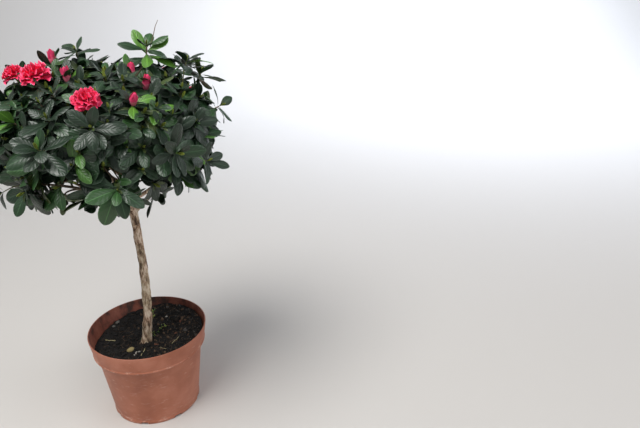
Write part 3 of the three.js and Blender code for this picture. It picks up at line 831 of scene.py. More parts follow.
def borders_of(mass, point):
    """The ways to a mass's neighbours, and how far a point is from each halfway plane."""
    others = mass_centres[[i for i, other in enumerate(masses) if other is not mass]]
    centre = np.array(mass.centre)
    away = others - centre
    away /= np.linalg.norm(away, axis=1)[:, None]
    depths = (((others + centre) / 2 - np.array(point)) * away).sum(1)
    return away, depths


def fits(mass, points, room):
    """Whether all the points lie in a mass's own space and clear of the limbs."""
    in_space = all((borders_of(mass, point)[1] > GAP / 2 + room).all() for point in points)
    return in_space and clear_of_limbs(points, GAP + room)


def head_halves(upright):
    return Vector((HEAD_HALF_WIDTH, HEAD_HALF_DEPTH, HEAD_RISE if upright > 0 else HEAD_DROP))


def divided(vector, by):
    return Vector((vector.x / by.x, vector.y / by.y, vector.z / by.z))


def outline_reach(direction):
    """Distance from the head's centre to its outline in a direction."""
    scaled = divided(direction, head_halves(direction.z))
    level = math.hypot(scaled.x, scaled.y) ** HEAD_SQUARENESS + abs(scaled.z) ** HEAD_SQUARENESS
    return level ** (-1 / HEAD_SQUARENESS)


def outline_facing(offset):
    """The way that the outline faces at an offset from the head's centre."""
    halves = head_halves(offset.z)
    scaled = divided(offset, halves)
    flat_pull = math.hypot(scaled.x, scaled.y) ** (HEAD_SQUARENESS - 2)
    upright_pull = abs(scaled.z) ** (HEAD_SQUARENESS - 2)
    pulled = Vector((flat_pull * scaled.x, flat_pull * scaled.y, upright_pull * scaled.z))
    return divided(pulled, halves).normalized()


def shoot_place(direction, scale, proud):
    reach = (outline_reach(direction) - SHOOT_DEPTH) * scale + proud
    return HEAD_CENTRE + direction * reach


def direct(bearing, upright):
    flat = math.sqrt(1 - upright * upright)
    return Vector((flat * math.cos(bearing), flat * math.sin(bearing), upright))


def shell_shoots(shells, random, fine):
    """Shoots spread evenly over each shell by the golden angle, then shaken a little."""
    shoots = []
    for shell in shells:
        for i in range(shell["count"]):
            upright = 1 - 2 * (i + 0.5) / shell["count"]
            direction = direct(i * GOLDEN_ANGLE + shell["turn"], upright)
            halves = head_halves(upright)
            direction = Vector([one * other for one, other in zip(direction, halves)]).normalized()
            point = shoot_place(direction, shell["scale"], 0)
            point += Vector([spread(random, SHOOT_JITTER) for _ in range(3)])
            near_stem = math.hypot(point.x - HEAD_CENTRE.x, point.y - HEAD_CENTRE.y) < BARE_RADIUS
            bare = near_stem and point.z < BARE_HEIGHT
            if shell["lowest"] < upright < shell["highest"] and not bare:
                shoots.append(Shoot(point, shell["leaves"], fine))
    return shoots


def add_flowers(shoots):
    """Each flower takes over the tip of the nearest shoot that has none."""
    for flower in FLOWERS:
        direction = direct(math.radians(flower["bearing"]), math.sin(math.radians(flower["height"])))
        place = shoot_place(direction, 1, flower["proud"])
        free = [shoot for shoot in shoots if not shoot.flower]
        nearest = min(free, key=lambda shoot: (shoot.point - place).length)
        nearest.point = place
        nearest.flower = flower["kind"]
        nearest.bloom_size = flower.get("size", 1)


def share_out(shoots):
    """Gives each shoot to the nearest mass, and moves it in from the borders of that mass's space."""
    for shoot in shoots:
        mass = min(masses, key=lambda each: (each.centre - shoot.point).length)
        away, depths = borders_of(mass, shoot.point)
        for way, depth in zip(away, depths):
            shoot.point = shoot.point + Vector(way) * min(0, depth - BORDER)
        facing = outline_facing(shoot.point - HEAD_CENTRE)
        shoot.axis = (facing + UP * SHOOT_LIFT).normalized()
        mass.shoots.append(shoot)


def lay_out_shoots():
    shoots = shell_shoots(SHELLS, seeded(SHOOT_SEED), False)
    add_flowers(shoots)
    tall = Shoot(TALL_SHOOT.copy(), TALL_SHOOT_LEAVES)
    tall.run = TALL_SHOOT_RUN
    tall.facing = TALL_SHOOT_FACING
    tall.size = TALL_SHOOT_SIZE
    shoots.append(tall)
    share_out(shoots)
    return shoots


shoots = lay_out_shoots()

# The middles of the blooms, and how far round each no leaf grows
bloom_places = [
    (shoot.point + shoot.axis * BLOOM_MIDDLE, BLOOM_REACH * shoot.bloom_size)
    for shoot in shoots if shoot.flower == "bloom"
]


def lay_out_fine_shoots():
    """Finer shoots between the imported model's own, apart from those that would crowd one."""
    random = seeded(FINE_SEED)
    fine = []
    for x, y, z, size in PROUD_SHOOTS:
        shoot = Shoot(Vector((x, y, z)), PROUD_LEAVES, True)
        shoot.size = size
        fine.append(shoot)
    for shoot in shell_shoots(FINE_SHELLS, random, True):
        is_open = any((shoot.point - middle).length < reach for middle, reach in OPEN_PLACES)
        is_thinned = shoot.point.z < THIN_BELOW and random() < THIN_SHARE
        if not is_open and not is_thinned:
            fine.append(shoot)
    kept = []
    for shoot in fine:
        near = min((shoot.point - other.point).length for other in [*shoots, *kept])
        if near > FINE_SPACING:
            kept.append(shoot)
    share_out(kept)
    for shoot in [*shoots, *kept]:
        shake = Vector([spread(random, FACING_SHAKE) for _ in range(3)])
        if not shoot.facing:
            shoot.facing = (shoot.axis + shake + UP * FACING_LIFT).normalized()
        if shoot.point.z < SPARSE_BELOW and shoot.size == 1:
            shoot.leaves = min(shoot.leaves, SPARSE_LEAVES)
    for place in BRIGHT_PLACES:
        nearest = min([*shoots, *kept], key=lambda shoot: (shoot.point - Vector(place)).length)
        nearest.bright = True


def ring_places(curve, stretches):
    """Places that cut a curve into stretches of the same length."""
    places = curve.points(RING_PROBES)
    ways = np.cumsum([0] + [(other - one).length for one, other in zip(places, places[1:])])
    rings = []
    for i in range(stretches + 1):
        share = np.interp(ways[-1] * i / stretches, ways, np.arange(RING_PROBES + 1) / RING_PROBES)
        rings.append(curve.point(float(share)))
    return rings


def buds_of(curve, rings, shares, path):
    """Places along wood where twigs can leave it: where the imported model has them, on the straight
    stretches between its rings, where they are on the smooth wood, and the ways there so far."""
    length = curve.length()
    stretches = len(rings) - 1
    buds = []
    for share in shares:
        stretch = int(share * stretches)
        place = rings[stretch].lerp(rings[stretch + 1], share * stretches - stretch)
        buds.append((place, curve.point(share), curve.tangent(share), path + length * share))
    return buds


def find_twig(mass, wood, shoot):
    """The shortest way to a shoot from the wood grown so far that has room, or nothing."""
    ways = []
    for point, foot, along, path in wood:
        way = shoot.point - point
        turn_back = 1 - way.normalized().dot(along)
        cost = way.length * (1 + turn_back * TURN_BACK_COST) + path * PATH_COST
        ways.append((cost, point, foot, path))
    ways.sort(key=lambda each: each[0])
    for _, point, foot, path in ways[:TWIG_TRIES]:
        bend = shoot.point - shoot.axis * (TWIG_BEND * (shoot.point - point).length)
        curve = Bend(point, bend, shoot.point)
        if fits(mass, curve.points(TWIG_PROBES)[1:], TWIG_RADIUS):
            wood += buds_of(curve, curve.points(TWIG_STRETCHES), TWIG_BUDS, path)
            curve.foot = foot
            return curve
    return None


def grow_twigs(mass):
    """Grows a mass's own stem and the twigs to its shoots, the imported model's shoots first."""
    start = mass.start + mass.along * GAP
    bend = start + mass.along * (TWIG_BEND * (mass.centre - start).length)
    stem = Bend(start, bend, mass.centre)
    mass.own_stem = stem
    wood = buds_of(stem, ring_places(stem, OWN_STEM_STRETCHES), STEM_BUDS, 0)
    for shoot in sorted(mass.shoots, key=lambda each: (each.fine, (each.point - mass.start).length)):
        curve = find_twig(mass, wood, shoot)
        if curve:
            mass.twigs.append((shoot, curve))


# Wood


def tube(points, radii, sides):
    """Points and faces of a round limb along a line, with its frame carried from point to point."""
    count = len(points)
    ways = [(points[min(i + 1, count - 1)] - points[max(i - 1, 0)]).normalized() for i in range(count)]
    across = ways[0].cross(UP if abs(ways[0].z) < 0.9 else RIGHT).normalized()
    places = []
    for point, way, radius in zip(points, ways, radii):
        across = (across - way * across.dot(way)).normalized()
        beyond = way.cross(across)
        for k in range(sides):
            turn = k * FULL_TURN / sides
            places.append(point + (across * math.cos(turn) + beyond * math.sin(turn)) * radius)
    places.append(points[-1] + ways[-1] * radii[-1])
    faces = grid_faces(count, sides, closed=True).tolist()
    return places, faces + fan((count - 1) * sides, sides, count * sides)


def add_tube(parts, points, radii, sides, slot=0):
    places, faces = tube(points, radii, sides)
    parts.add_mixed(places, faces, slot)


def bark_relief(point):
    """How far the bark stands out at a point: upright fissures and ridges, scales, and broad swellings."""
    relief = 0
    for amount, across, along in BARK_NOISES:
        relief += amount * noise.noise(Vector((point.x * across, point.y * across, point.z * along)))
    return BARK_DEPTH * relief


def knot_relief(height, bearing, radius):
    relief = 0
    for knot_height, knot_bearing, proud, reach in KNOTS:
        turned = (bearing - math.radians(knot_bearing) + math.pi) % FULL_TURN - math.pi
        away = math.hypot(height - knot_height, turned * radius) / reach
        relief += proud * math.exp(-away * away)
    return relief


def stem_ring(share):
    """Points round the stem at a share of its length, with its bark, its knots and its broad lobes."""
    middle = stem_line.point(share)
    way = stem_line.tangent(share)
    across = (RIGHT - way * RIGHT.dot(way)).normalized()
    beyond = way.cross(across)
    radius = stem_radius(middle.z)
    foot_share = math.exp(-(middle.z - SOIL_AT_STEM) / FLARE_HEIGHT)
    places = []
    for k in range(STEM_SIDES):
        bearing = k * FULL_TURN / STEM_SIDES
        outward = across * math.cos(bearing) + beyond * math.sin(bearing)
        point = middle + outward * radius
        lobes = LOBE_DEPTH * math.cos(LOBES * bearing + middle.z * LOBE_TWIST) * (1 + foot_share)
        relief = bark_relief(point) + knot_relief(middle.z, bearing, radius) + lobes
        places.append(point + outward * relief)
    return places


def make_stem(bark):
    places = []
    for step in range(STEM_STEPS + 1):
        places += stem_ring(step / STEM_STEPS)
    for place in places[:STEM_SIDES]:
        place.z = SOIL_AT_STEM
    faces = grid_faces(STEM_STEPS + 1, STEM_SIDES, closed=True).tolist()
    last = STEM_STEPS * STEM_SIDES
    faces.append(list(range(STEM_SIDES))[::-1])
    faces.append([last + k for k in range(STEM_SIDES)])
    parts = MeshParts()
    parts.add_mixed(places, faces)
    fix(parts.make("stem_bark", [bark], sharp_angle=60), "trunk")


def make_bough(mass, bark):
    points = mass.bough.points(BOUGH_STEPS)
    radii = [lerp(mass.bough_radius, BOUGH_TIP_RADIUS, i / BOUGH_STEPS) for i in range(BOUGH_STEPS + 1)]
    places, faces = tube(points, radii, BOUGH_SIDES)
    shaped = []
    for i, place in enumerate(places):
        outward = (place - points[min(i // BOUGH_SIDES, BOUGH_STEPS)]).normalized()
        relief = sum(amount * noise.noise(place * fineness) for amount, fineness in BOUGH_NOISES)
        shaped.append(place + outward * relief)
    parts = MeshParts()
    parts.add_mixed(shaped, faces)
    fix(parts.make(f"bough_bark_{mass.name}", [bark]), f"bough_{mass.name}")


def make_twigs(mass, materials):
    """A mass's own stem and twigs, which grow on from its bough."""
    parts = MeshParts()
    stem_points = mass.own_stem.points(TWIG_STEPS)
    stem_points[0] = mass.start - mass.along
    stem_radii = [lerp(mass.start_radius, TWIG_RADIUS, i / TWIG_STEPS) for i in range(TWIG_STEPS + 1)]
    add_tube(parts, stem_points, stem_radii, TWIG_SIDES + 2, slot=0)
    for shoot, curve in mass.twigs:
        size = FINE_TWIG_SHARE if shoot.fine else 1
        points = [curve.foot, *curve.points(TWIG_STEPS)[1:]]
        points.append(shoot.point + shoot.axis * (TIP_BEYOND - 1))
        radii = [size * lerp(TWIG_RADIUS, TWIG_TIP_RADIUS, i / TWIG_STEPS) for i in range(TWIG_STEPS + 1)]
        radii.append(radii[-1] * TIP_TAPER)
        add_tube(parts, points, radii, TWIG_SIDES, slot=1 if shoot.fine else 0)
    if mass.name == "top":
        add_tube(parts, BARE_TIP, BARE_TIP_RADII, TWIG_SIDES, slot=0)
    fix(parts.make(f"twigs_{mass.name}", materials), f"foliage_{mass.name}")


# Leaves


def leaf_half_width(shares):
    """The outline of a leaf: narrow at its foot, broadest past its middle, and round at its tip."""
    rise = np.sin(np.pi * np.clip(shares, 0, 1) ** LEAF_LATENESS)
    return np.maximum(rise, 0) ** (LEAF_TAPER - LEAF_ROUNDNESS * shares)


def lay_leaf(axis, angle, pitch, droop):
    """The ways that a leaf of a whorl points, spreads and faces."""
    level = RIGHT if abs(axis.x) < 0.9 else BACK
    radial = level.cross(axis).normalized()
    radial.rotate(Matrix.Rotation(angle, 3, axis))
    along = axis * math.cos(math.radians(pitch)) + radial * math.sin(math.radians(pitch)) - UP * droop
    along.normalize()
    across = axis.cross(along).normalized()
    return along, across, along.cross(across)


def leaf_row(foot, ways, length, width, bend=0.5, fold=0.4, twist=0, phase=0, tint=0):
    """One leaf as leaf_points takes it: its foot, its three ways, its size and the way it is shaped."""
    along, across, face = ways
    return (*foot, *along, *across, *face, length, width, bend, fold, twist, phase, tint)


def leaf_tint(random, age, shoot, is_fresh, base):
    draw = random()
    if shoot.bright and BRIGHT_AGES[0] < age < BRIGHT_AGES[1]:
        return LEAF_TINTS.index("bright")
    if is_fresh and age < FRESH_AGE:
        return LEAF_TINTS.index("fresh")
    if draw < LIGHTER_BELOW:
        return min(base + 1, len(TINT_SHARES))
    if draw < DARKER_BELOW:
        return max(base - 1, 0)
    return base


def leaves_open(points):
    """Whether points stay out of the gaps in the foliage and clear of the blooms."""
    points = np.array(points)
    for start, end, reach in SKY_GAPS:
        way = np.array((end - start).normalized())
        away = points - np.array(start)
        away = away - (away @ way)[:, None] * way
        if (np.linalg.norm(away, axis=1) < reach).any():
            return False
    for place, reach in bloom_places:
        if (np.linalg.norm(points - np.array(place), axis=1) < reach).any():
            return False
    return True


def grow_leaves(shoot, random, leaves):
    """The leaves of one rosette, from the lowest and oldest up to the small ones at its middle."""
    turn = random() * FULL_TURN
    base = int(np.searchsorted(TINT_SHARES, random(), side="right"))
    is_fresh = random() < FRESH_SHARE
    tip = shoot.point + shoot.axis * TIP_BEYOND
    openness = 1 + spread(random, OPENNESS_SPREAD)
    for k in range(shoot.leaves):
        age = 1 - k / (shoot.leaves - 1)
        angle = turn + k * GOLDEN_ANGLE + spread(random, LEAF_ANGLE_SPREAD)
        pitch = lerp(YOUNGEST_PITCH, OLDEST_PITCH, age ** PITCH_POWER) * openness
        pitch += spread(random, PITCH_SPREAD)
        size = shoot.size * lerp(YOUNGEST_SIZE, 1, age ** SIZE_POWER)
        size *= 1 + spread(random, LEAF_SIZE_SPREAD)
        shape = [random() for _ in range(5)]
        tint = leaf_tint(random, age, shoot, is_fresh, base)
        ways = lay_leaf(shoot.facing, angle, pitch, MOST_DROOP * age * shape[0] + LEAST_DROOP)
        foot = tip - shoot.axis * (shoot.run * age)
        length = LEAF_LENGTH * size
        probes = [foot + ways[0] * (length * share) for share in LEAF_PROBES]
        if clear_of_limbs(probes[1:], LEAF_ROOM) and leaves_open(probes):
            leaves.append(leaf_row(
                foot, ways, length, LEAF_WIDTH * size * lerp(*LEAF_WIDTHS, shape[0]),
                bend=lerp(*LEAF_BENDS, shape[1]), fold=lerp(*LEAF_FOLDS, shape[2]),
                twist=lerp(*LEAF_TWISTS, shape[3]), phase=shape[4] * FULL_TURN, tint=tint,
            ))
    if shoot.flower not in ("bloom", "bud"):
        grow_leaf_bud(shoot, random, tip, leaves)


def grow_leaf_bud(shoot, random, tip, leaves):
    """The small upright leaves at the middle of a rosette."""
    turn = random() * FULL_TURN
    length = BUD_LEAF_LENGTH + BUD_LEAF_SPREAD * random()
    young = LEAF_TINTS.index("young")
    opened = LEAF_TINTS.index("fresh" if random() < FRESH_BUD_SHARE else "olive")
    for k in range(BUD_LEAVES):
        angle = turn + k * FULL_TURN / CLOSED_BUD_LEAVES
        if k < CLOSED_BUD_LEAVES:
            ways = lay_leaf(shoot.facing, angle, CLOSED_LEAF_PITCH, 0)
            width = length * CLOSED_LEAF_WIDTH
            leaves.append(leaf_row(tip, ways, length, width, CLOSED_LEAF_BEND, BUD_LEAF_FOLD, tint=young))
        else:
            ways = lay_leaf(shoot.facing, angle, lerp(*OPEN_LEAF_PITCHES, random()), 0)
            size = length * lerp(*OPEN_LEAF_SIZES, random())
            leaves.append(leaf_row(tip, ways, size, size * OPEN_LEAF_WIDTH, fold=BUD_LEAF_FOLD, tint=opened))


def leaf_points(leaves):
    """Points of many leaves at once, each a curved, folded and slightly twisted blade."""
    rows = np.array(leaves)
    foot, along, across, face = (rows[:, 3 * i:3 * i + 3][:, None, None, :] for i in range(4))
    length, width, bend, fold, twist, phase = (rows[:, 12 + i][:, None, None] for i in range(6))
    share = LEAF_ROWS[None, :, None]
    side = LEAF_COLUMNS[None, None, :]
    bend = np.where(np.abs(bend) < LEAST_LEAF_BEND, LEAST_LEAF_BEND, bend)
    forward = length * np.sin(bend * share) / bend
    down = length * (1 - np.cos(bend * share)) / bend
    half = np.maximum(width / 2 * leaf_half_width(share), LEAST_HALF_WIDTH)
    offset = half * side
    lift = half * (fold * np.abs(side) - LEAF_EDGE_DROP * np.abs(side) ** 3)
    lift = lift + LEAF_WAVE * half * np.sin(LEAF_WAVE_TURN * share + phase) * side ** 2 * np.sign(side)
    turn = twist * share
    offset_turned = offset * np.cos(turn) - lift * np.sin(turn)
    lift_turned = offset * np.sin(turn) + lift * np.cos(turn)
    place = foot + along * forward[..., None] + across * offset_turned[..., None]
    return place + face * (lift_turned - down)[..., None]


def add_leaf_blades(parts, leaves):
    """The blades of many leaves, each with its midrib and its edge in their own shades of its tint; the
    edge's lighter shade is partly the leaf's pale margin and partly painted sheen.
    """
    rows = len(LEAF_ROWS)
    columns = len(LEAF_COLUMNS)
    blade = grid_faces(rows, columns)
    strips = np.tile(np.arange(columns - 1), rows - 1)
    steps = np.repeat(np.arange(rows - 1), columns - 1)
    is_midrib = strips == MIDRIB_STRIP
    # The edge strips take the edge materials: the leaf's pale margin together with painted sheen
    is_sheen_rim = ~is_midrib & ((strips == 0) | (strips == columns - 2) | (steps == rows - 2)) & (steps > 0)
    shade = np.where(is_midrib, 1, np.where(is_sheen_rim, 2, 0))
    mapped = np.stack(np.meshgrid(LEAF_ROWS, LEAF_COLUMNS, indexing="ij")[::-1], axis=-1) / [2, 1] + [0.5, 0]
    for place, leaf in zip(leaf_points(leaves), leaves):
        parts.add(place, blade, shade * len(LEAF_TINTS) + int(leaf[-1]), mapped)


def make_leaves(mass, seed, materials):
    random = seeded(seed)
    leaves = []
    for shoot, _ in mass.twigs:
        grow_leaves(shoot, random, leaves)
    parts = MeshParts()
    add_leaf_blades(parts, leaves)
    fix(parts.make(f"leaves_{mass.name}", materials), f"foliage_{mass.name}")


# A young side shoot on the stem, and moss sprouts round its foot


def grow_side_shoot(curve, random, tints):
    leaves = []
    way = (UP + RIGHT * SIDE_SHOOT_LEAN).normalized()
    for k in range(SIDE_SHOOT_LEAVES):
        share = lerp(SIDE_SHOOT_BARE_SHARE, 1, k / (SIDE_SHOOT_LEAVES - 1))
        ways = lay_leaf(way, k * GOLDEN_ANGLE, lerp(*SIDE_SHOOT_PITCHES, share), 0)
        length = lerp(*SIDE_SHOOT_LENGTHS, random())
        width = length * SIDE_SHOOT_WIDTH
        leaves.append(leaf_row(curve.point(share), ways, length, width, tint=tints[k % len(tints)]))
    return leaves


def grow_sprouts(random, tints):
    leaves = []
    for x, y, size in SPROUTS:
        foot = Vector((x, y, rough_soil_height(x, y)))
        for k in range(SPROUT_LEAVES):
            ways = lay_leaf(UP, k * GOLDEN_ANGLE + random(), lerp(*SPROUT_PITCHES, random()), 0)
            length = size * lerp(*SPROUT_LENGTHS, random())
            width = length * SPROUT_WIDTH
            leaves.append(leaf_row(foot, ways, length, width, SPROUT_BEND, tint=tints[k % 2]))
    return leaves


def make_sprigs(materials, twigs):
    random = seeded(SPRIG_SEED)
    foot = stem_line.at_height(SIDE_SHOOT_HEIGHT) + RIGHT * (STEM_RADIUS - SIDE_SHOOT_SUNK)
    curve = Bend(foot, foot + SIDE_SHOOT_PULL, foot + SIDE_SHOOT_TIP)
    stems = MeshParts()
    add_tube(stems, curve.points(TWIG_STEPS), [SIDE_SHOOT_RADIUS] * (TWIG_STEPS + 1), TWIG_SIDES)
    tints = [LEAF_TINTS.index(name) for name in SPRIG_TINTS]
    blades = MeshParts()
    add_leaf_blades(blades, grow_side_shoot(curve, random, tints) + grow_sprouts(random, tints))
    fix(blades.make("sprig_leaves", materials))
    fix(stems.make("sprig_stem", twigs))


# Flowers


def petal_points(foot, ways, length, width, style, phase):
    """A broad petal with a narrow foot, curved back and ruffled towards its edge."""
    share = PETAL_ROWS[:, None]
    side = PETAL_COLUMNS[None, :]
    bend = style["bend"]
    broadness = lerp(PETAL_FOOT_WIDTH, 1, share ** PETAL_BROADENING)
    half = width / 2 * broadness * (1 - PETAL_END_NARROWING * share ** 5)
    reach = share * (1 - PETAL_ROUNDNESS * side ** 2 * share ** 2)
    forward = length * np.sin(bend * reach) / bend
    down = length * (1 - np.cos(bend * reach)) / bend
    ripple = sum(amount * np.sin(turn * side + shift * phase) for amount, turn, shift in PETAL_RIPPLES)
    wave = style["ruffle"] * share ** 2 * ripple
    cup = PETAL_CUP * half * side ** 2 * (1 - share / 2)
    foot, along, across, face = (np.array(vector) for vector in (foot, *ways))
    place = foot + along * (forward + PETAL_FRILL * wave)[..., None] + across * (half * side)[..., None]
    return place + face * (wave + cup - down)[..., None]


def add_bloom(parts, shoot, random):
    """A double flower: rounds of petals, each with a paler edge."""
    faces = grid_faces(len(PETAL_ROWS), len(PETAL_COLUMNS))
    row = np.repeat(np.arange(len(PETAL_ROWS) - 1), len(PETAL_COLUMNS) - 1)
    slots = np.where(row >= len(PETAL_ROWS) - PETAL_EDGE_ROWS, PETAL_EDGE, PETAL)
    turn = random() * FULL_TURN
    size = shoot.bloom_size
    for number, style in enumerate(PETAL_ROUNDS):
        foot = shoot.point + shoot.axis * style["ahead"]
        for k in range(style["petals"]):
            angle = turn + number * ROUND_TURN + k * FULL_TURN / style["petals"]
            angle += spread(random, PETAL_ANGLE_SPREAD)
            ways = lay_leaf(shoot.axis, angle, style["pitch"] + spread(random, PETAL_PITCH_SPREAD), 0)
            length = size * style["length"] * (1 + spread(random, PETAL_LENGTH_SPREAD))
            width = size * style["width"]
            points = petal_points(foot, ways, length, width, style, random() * LARGEST_PHASE)
            parts.add(points, faces, slots)


def add_stalk(parts, shoot):
    """The stalk of an open flower, which widens into its cup."""
    points = [shoot.point + shoot.axis * (STALK_REACH * share) for share in STALK_SHARES]
    add_tube(parts, points, STALK_RADII, STALK_SIDES, STALK)


def add_sepals(parts, shoot, random, ahead, length):
    leaves = []
    foot = shoot.point + shoot.axis * ahead
    for k in range(SEPALS):
        angle = k * FULL_TURN / SEPALS + spread(random, SEPAL_ANGLE_SPREAD)
        ways = lay_leaf(shoot.axis, angle, SEPAL_PITCH, 0)
        leaves.append(leaf_row(foot, ways, length, length * SEPAL_WIDTH, bend=-0.5, fold=0.5))
    faces = grid_faces(len(LEAF_ROWS), len(LEAF_COLUMNS))
    for place in leaf_points(leaves):
        parts.add(place, faces, SEPAL)


def add_bud_body(parts, shoot, turn):
    """The slim folded body of a closed flower."""
    level = RIGHT if abs(shoot.axis.x) < 0.9 else BACK
    across = level.cross(shoot.axis).normalized()
    beyond = shoot.axis.cross(across)
    places = []
    for i in range(FLOWER_BUD_ROWS + 1):
        share = i / FLOWER_BUD_ROWS
        middle = shoot.point + shoot.axis * (FLOWER_BUD_START + FLOWER_BUD_LENGTH * share)
        size = FLOWER_BUD_RADIUS * math.sin(math.pi * lerp(*FLOWER_BUD_OUTLINE, share ** 0.9)) ** 0.8
        depth = FLOWER_BUD_FOLD_DEPTH * math.sin(math.pi * share) ** 0.5
        for k in range(FLOWER_BUD_SIDES):
            bearing = k * FULL_TURN / FLOWER_BUD_SIDES
            fold = 1 + depth * math.sin(FLOWER_BUD_FOLDS * bearing + FLOWER_BUD_TWIST * share + turn)
            places.append(middle + (across * math.cos(bearing) + beyond * math.sin(bearing)) * (size * fold))
    faces = grid_faces(FLOWER_BUD_ROWS + 1, FLOWER_BUD_SIDES, closed=True)
    is_foot = np.arange(len(faces)) < len(faces) * FLOWER_BUD_FOOT_SHARE
    parts.add(places, faces, np.where(is_foot, BUD_FOOT, BUD_PETAL))
    top = shoot.point + shoot.axis * (FLOWER_BUD_START + FLOWER_BUD_LENGTH + FLOWER_BUD_POINT)
    parts.add([*places[-FLOWER_BUD_SIDES:], top], fan(0, FLOWER_BUD_SIDES, FLOWER_BUD_SIDES), BUD_PETAL)


def add_flower_bud(parts, shoot, random):
    """A closed flower, with petals wound round its body."""
    turn = random() * FULL_TURN
    add_bud_body(parts, shoot, turn)
    faces = grid_faces(len(PETAL_ROWS), len(PETAL_COLUMNS))
    pitch = lerp(*FLOWER_BUD_PITCHES, random())
    for k in range(BUD_PETALS["petals"]):
        ways = lay_leaf(shoot.axis, turn + k * FULL_TURN / BUD_PETALS["petals"], pitch, 0)
        outward = (ways[0] - shoot.axis * ways[0].dot(shoot.axis)).normalized()
        foot = shoot.point + shoot.axis * BUD_PETALS["ahead"] + outward * (FLOWER_BUD_RADIUS * BUD_PETAL_OUT)
        length = BUD_PETALS["length"] * (1 + spread(random, BUD_PETAL_LENGTH_SPREAD))
        phase = random() * LARGEST_PHASE
        parts.add(petal_points(foot, ways, length, BUD_PETALS["width"], BUD_PETALS, phase), faces, BUD_PETAL)


def make_flowers(petals, cups):
    random = seeded(FLOWER_SEED)
    blooms = MeshParts()
    green = MeshParts()
    for mass in masses:
        for shoot, _ in mass.twigs:
            if shoot.flower == "bloom":
                add_stalk(green, shoot)
                add_sepals(green, shoot, random, **BLOOM_SEPALS)
                add_bloom(blooms, shoot, random)
            elif shoot.flower == "bud":
                add_sepals(green, shoot, random, **BUD_SEPALS)
                add_flower_bud(blooms, shoot, random)
    fix(blooms.make("blooms", petals))
    fix(green.make("flower_cups", cups))


# Pot and soil


def softened(profile, cut, steps):
    """A profile with its corners rounded off."""
    points = [profile[0]]
    for before, corner, after in zip(profile, profile[1:], profile[2:]):
        before, corner, after = (Vector(point) for point in (before, corner, after))
        one_way = before - corner
        other_way = after - corner
        reach = min(cut, one_way.length * 0.45, other_way.length * 0.45)
        curve = Bend(corner + one_way.normalized() * reach, corner, corner + other_way.normalized() * reach)
        points += [tuple(point) for point in curve.points(steps)]
    points.append(profile[-1])
    return points


def pot_outside():
    collar_foot = POT_HEIGHT - COLLAR_HEIGHT
    ring_inner = BASE_RADIUS - FOOT_RING_WIDTH
    return [
        (0, 0),
        (CENTRE_PAD_RADIUS, 0),
        (CENTRE_PAD_RADIUS + FOOT_SLOPE, FOOT_HEIGHT),
        (ring_inner - FOOT_SLOPE, FOOT_HEIGHT),
        (ring_inner, 0),
        (BASE_RADIUS, 0),
        (BASE_RADIUS + BEAD, BEAD),
        (BASE_RADIUS + BEAD, FOOT_HEIGHT),
        (BASE_RADIUS + BEAD / 2, FOOT_HEIGHT + BEAD),
        (BODY_TOP_RADIUS, collar_foot),
        (COLLAR_FOOT_RADIUS + BEAD, collar_foot),
        (COLLAR_FOOT_RADIUS + BEAD, collar_foot + 2 * BEAD),
        (COLLAR_FOOT_RADIUS + BEAD / 4, collar_foot + 3 * BEAD),
        (RIM_RADIUS, POT_HEIGHT),
    ]


def pot_inside():
    shoulder = POT_HEIGHT - COLLAR_HEIGHT + WALL
    return [
        (RIM_RADIUS - WALL, POT_HEIGHT),
        (COLLAR_FOOT_RADIUS - WALL, shoulder),
        (BODY_TOP_RADIUS - WALL, shoulder),
        (BASE_RADIUS - WALL, FOOT_HEIGHT + WALL),
        (CENTRE_PAD_RADIUS + FOOT_SLOPE - WALL, FOOT_HEIGHT + WALL),
        (CENTRE_PAD_RADIUS - WALL, WALL),
        (0, WALL),
    ]


def turned(profile, bearings):
    """Points and faces of a profile turned about the upright axis, without its two ends on the axis."""
    radii = np.array([radius for radius, _ in profile[1:-1]])
    places = np.empty((len(radii), len(bearings), 3))
    places[..., 0] = radii[:, None] * np.cos(bearings)
    places[..., 1] = radii[:, None] * np.sin(bearings)
    places[..., 2] = np.array([height for _, height in profile[1:-1]])[:, None]
    return places, flipped(grid_faces(len(radii), len(bearings), closed=True).tolist())


def slot_middles():
    """Bearings of the middles of the drain slots."""
    return [((i + 0.5) * FULL_TURN / DRAIN_SLOTS + math.pi / 2) % FULL_TURN for i in range(DRAIN_SLOTS)]


def pot_bearings(half_slot):
    """Bearings of the pot's columns, with two close together at each side of a drain slot."""
    bearings = list(np.arange(POT_COLUMNS) * FULL_TURN / POT_COLUMNS)
    for middle in slot_middles():
        for edge in (middle - half_slot, middle + half_slot):
            bearings += [edge - SLOT_EDGE_ANGLE, edge + SLOT_EDGE_ANGLE]
    return np.sort(np.array(bearings) % FULL_TURN)


def make_pot(plastics):
    profile = softened([*pot_outside(), *pot_inside()], CORNER_CUT, CORNER_STEPS)
    half_slot = SLOT_WIDTH / 2 / (BASE_RADIUS - FOOT_RING_WIDTH / 2)
    bearings = pot_bearings(half_slot)
    places, faces = turned(profile, bearings)
    in_slot = np.zeros(len(bearings), bool)
    for middle in slot_middles():
        in_slot |= np.abs((bearings - middle + math.pi) % FULL_TURN - math.pi) < half_slot
    on_ring = np.hypot(places[..., 0], places[..., 1]) > BASE_RADIUS - FOOT_RING_WIDTH - FOOT_SLOPE
    places[..., 2][in_slot & on_ring & (places[..., 2] < SLOT_HEIGHT)] = SLOT_HEIGHT
    rim_row = int(np.argmax(places[:, 0, 2]))
    sides = len(bearings)
    bottom = len(places) * sides
    faces += flipped(fan(0, sides, bottom)) + fan(bottom - sides, sides, bottom + 1)
    parts = MeshParts()
    points = np.concatenate([places.reshape(-1, 3), [[0, 0, 0], [0, 0, WALL]]])
    # Faces past the rim, the pot's inside, take the darker plastic: painted shade, with soil stains
    parts.add_mixed(points, faces, np.where(np.arange(len(faces)) // sides > rim_row, 1, 0))
    fix(parts.make("pot_shell", plastics, sharp_angle=50), "pot")


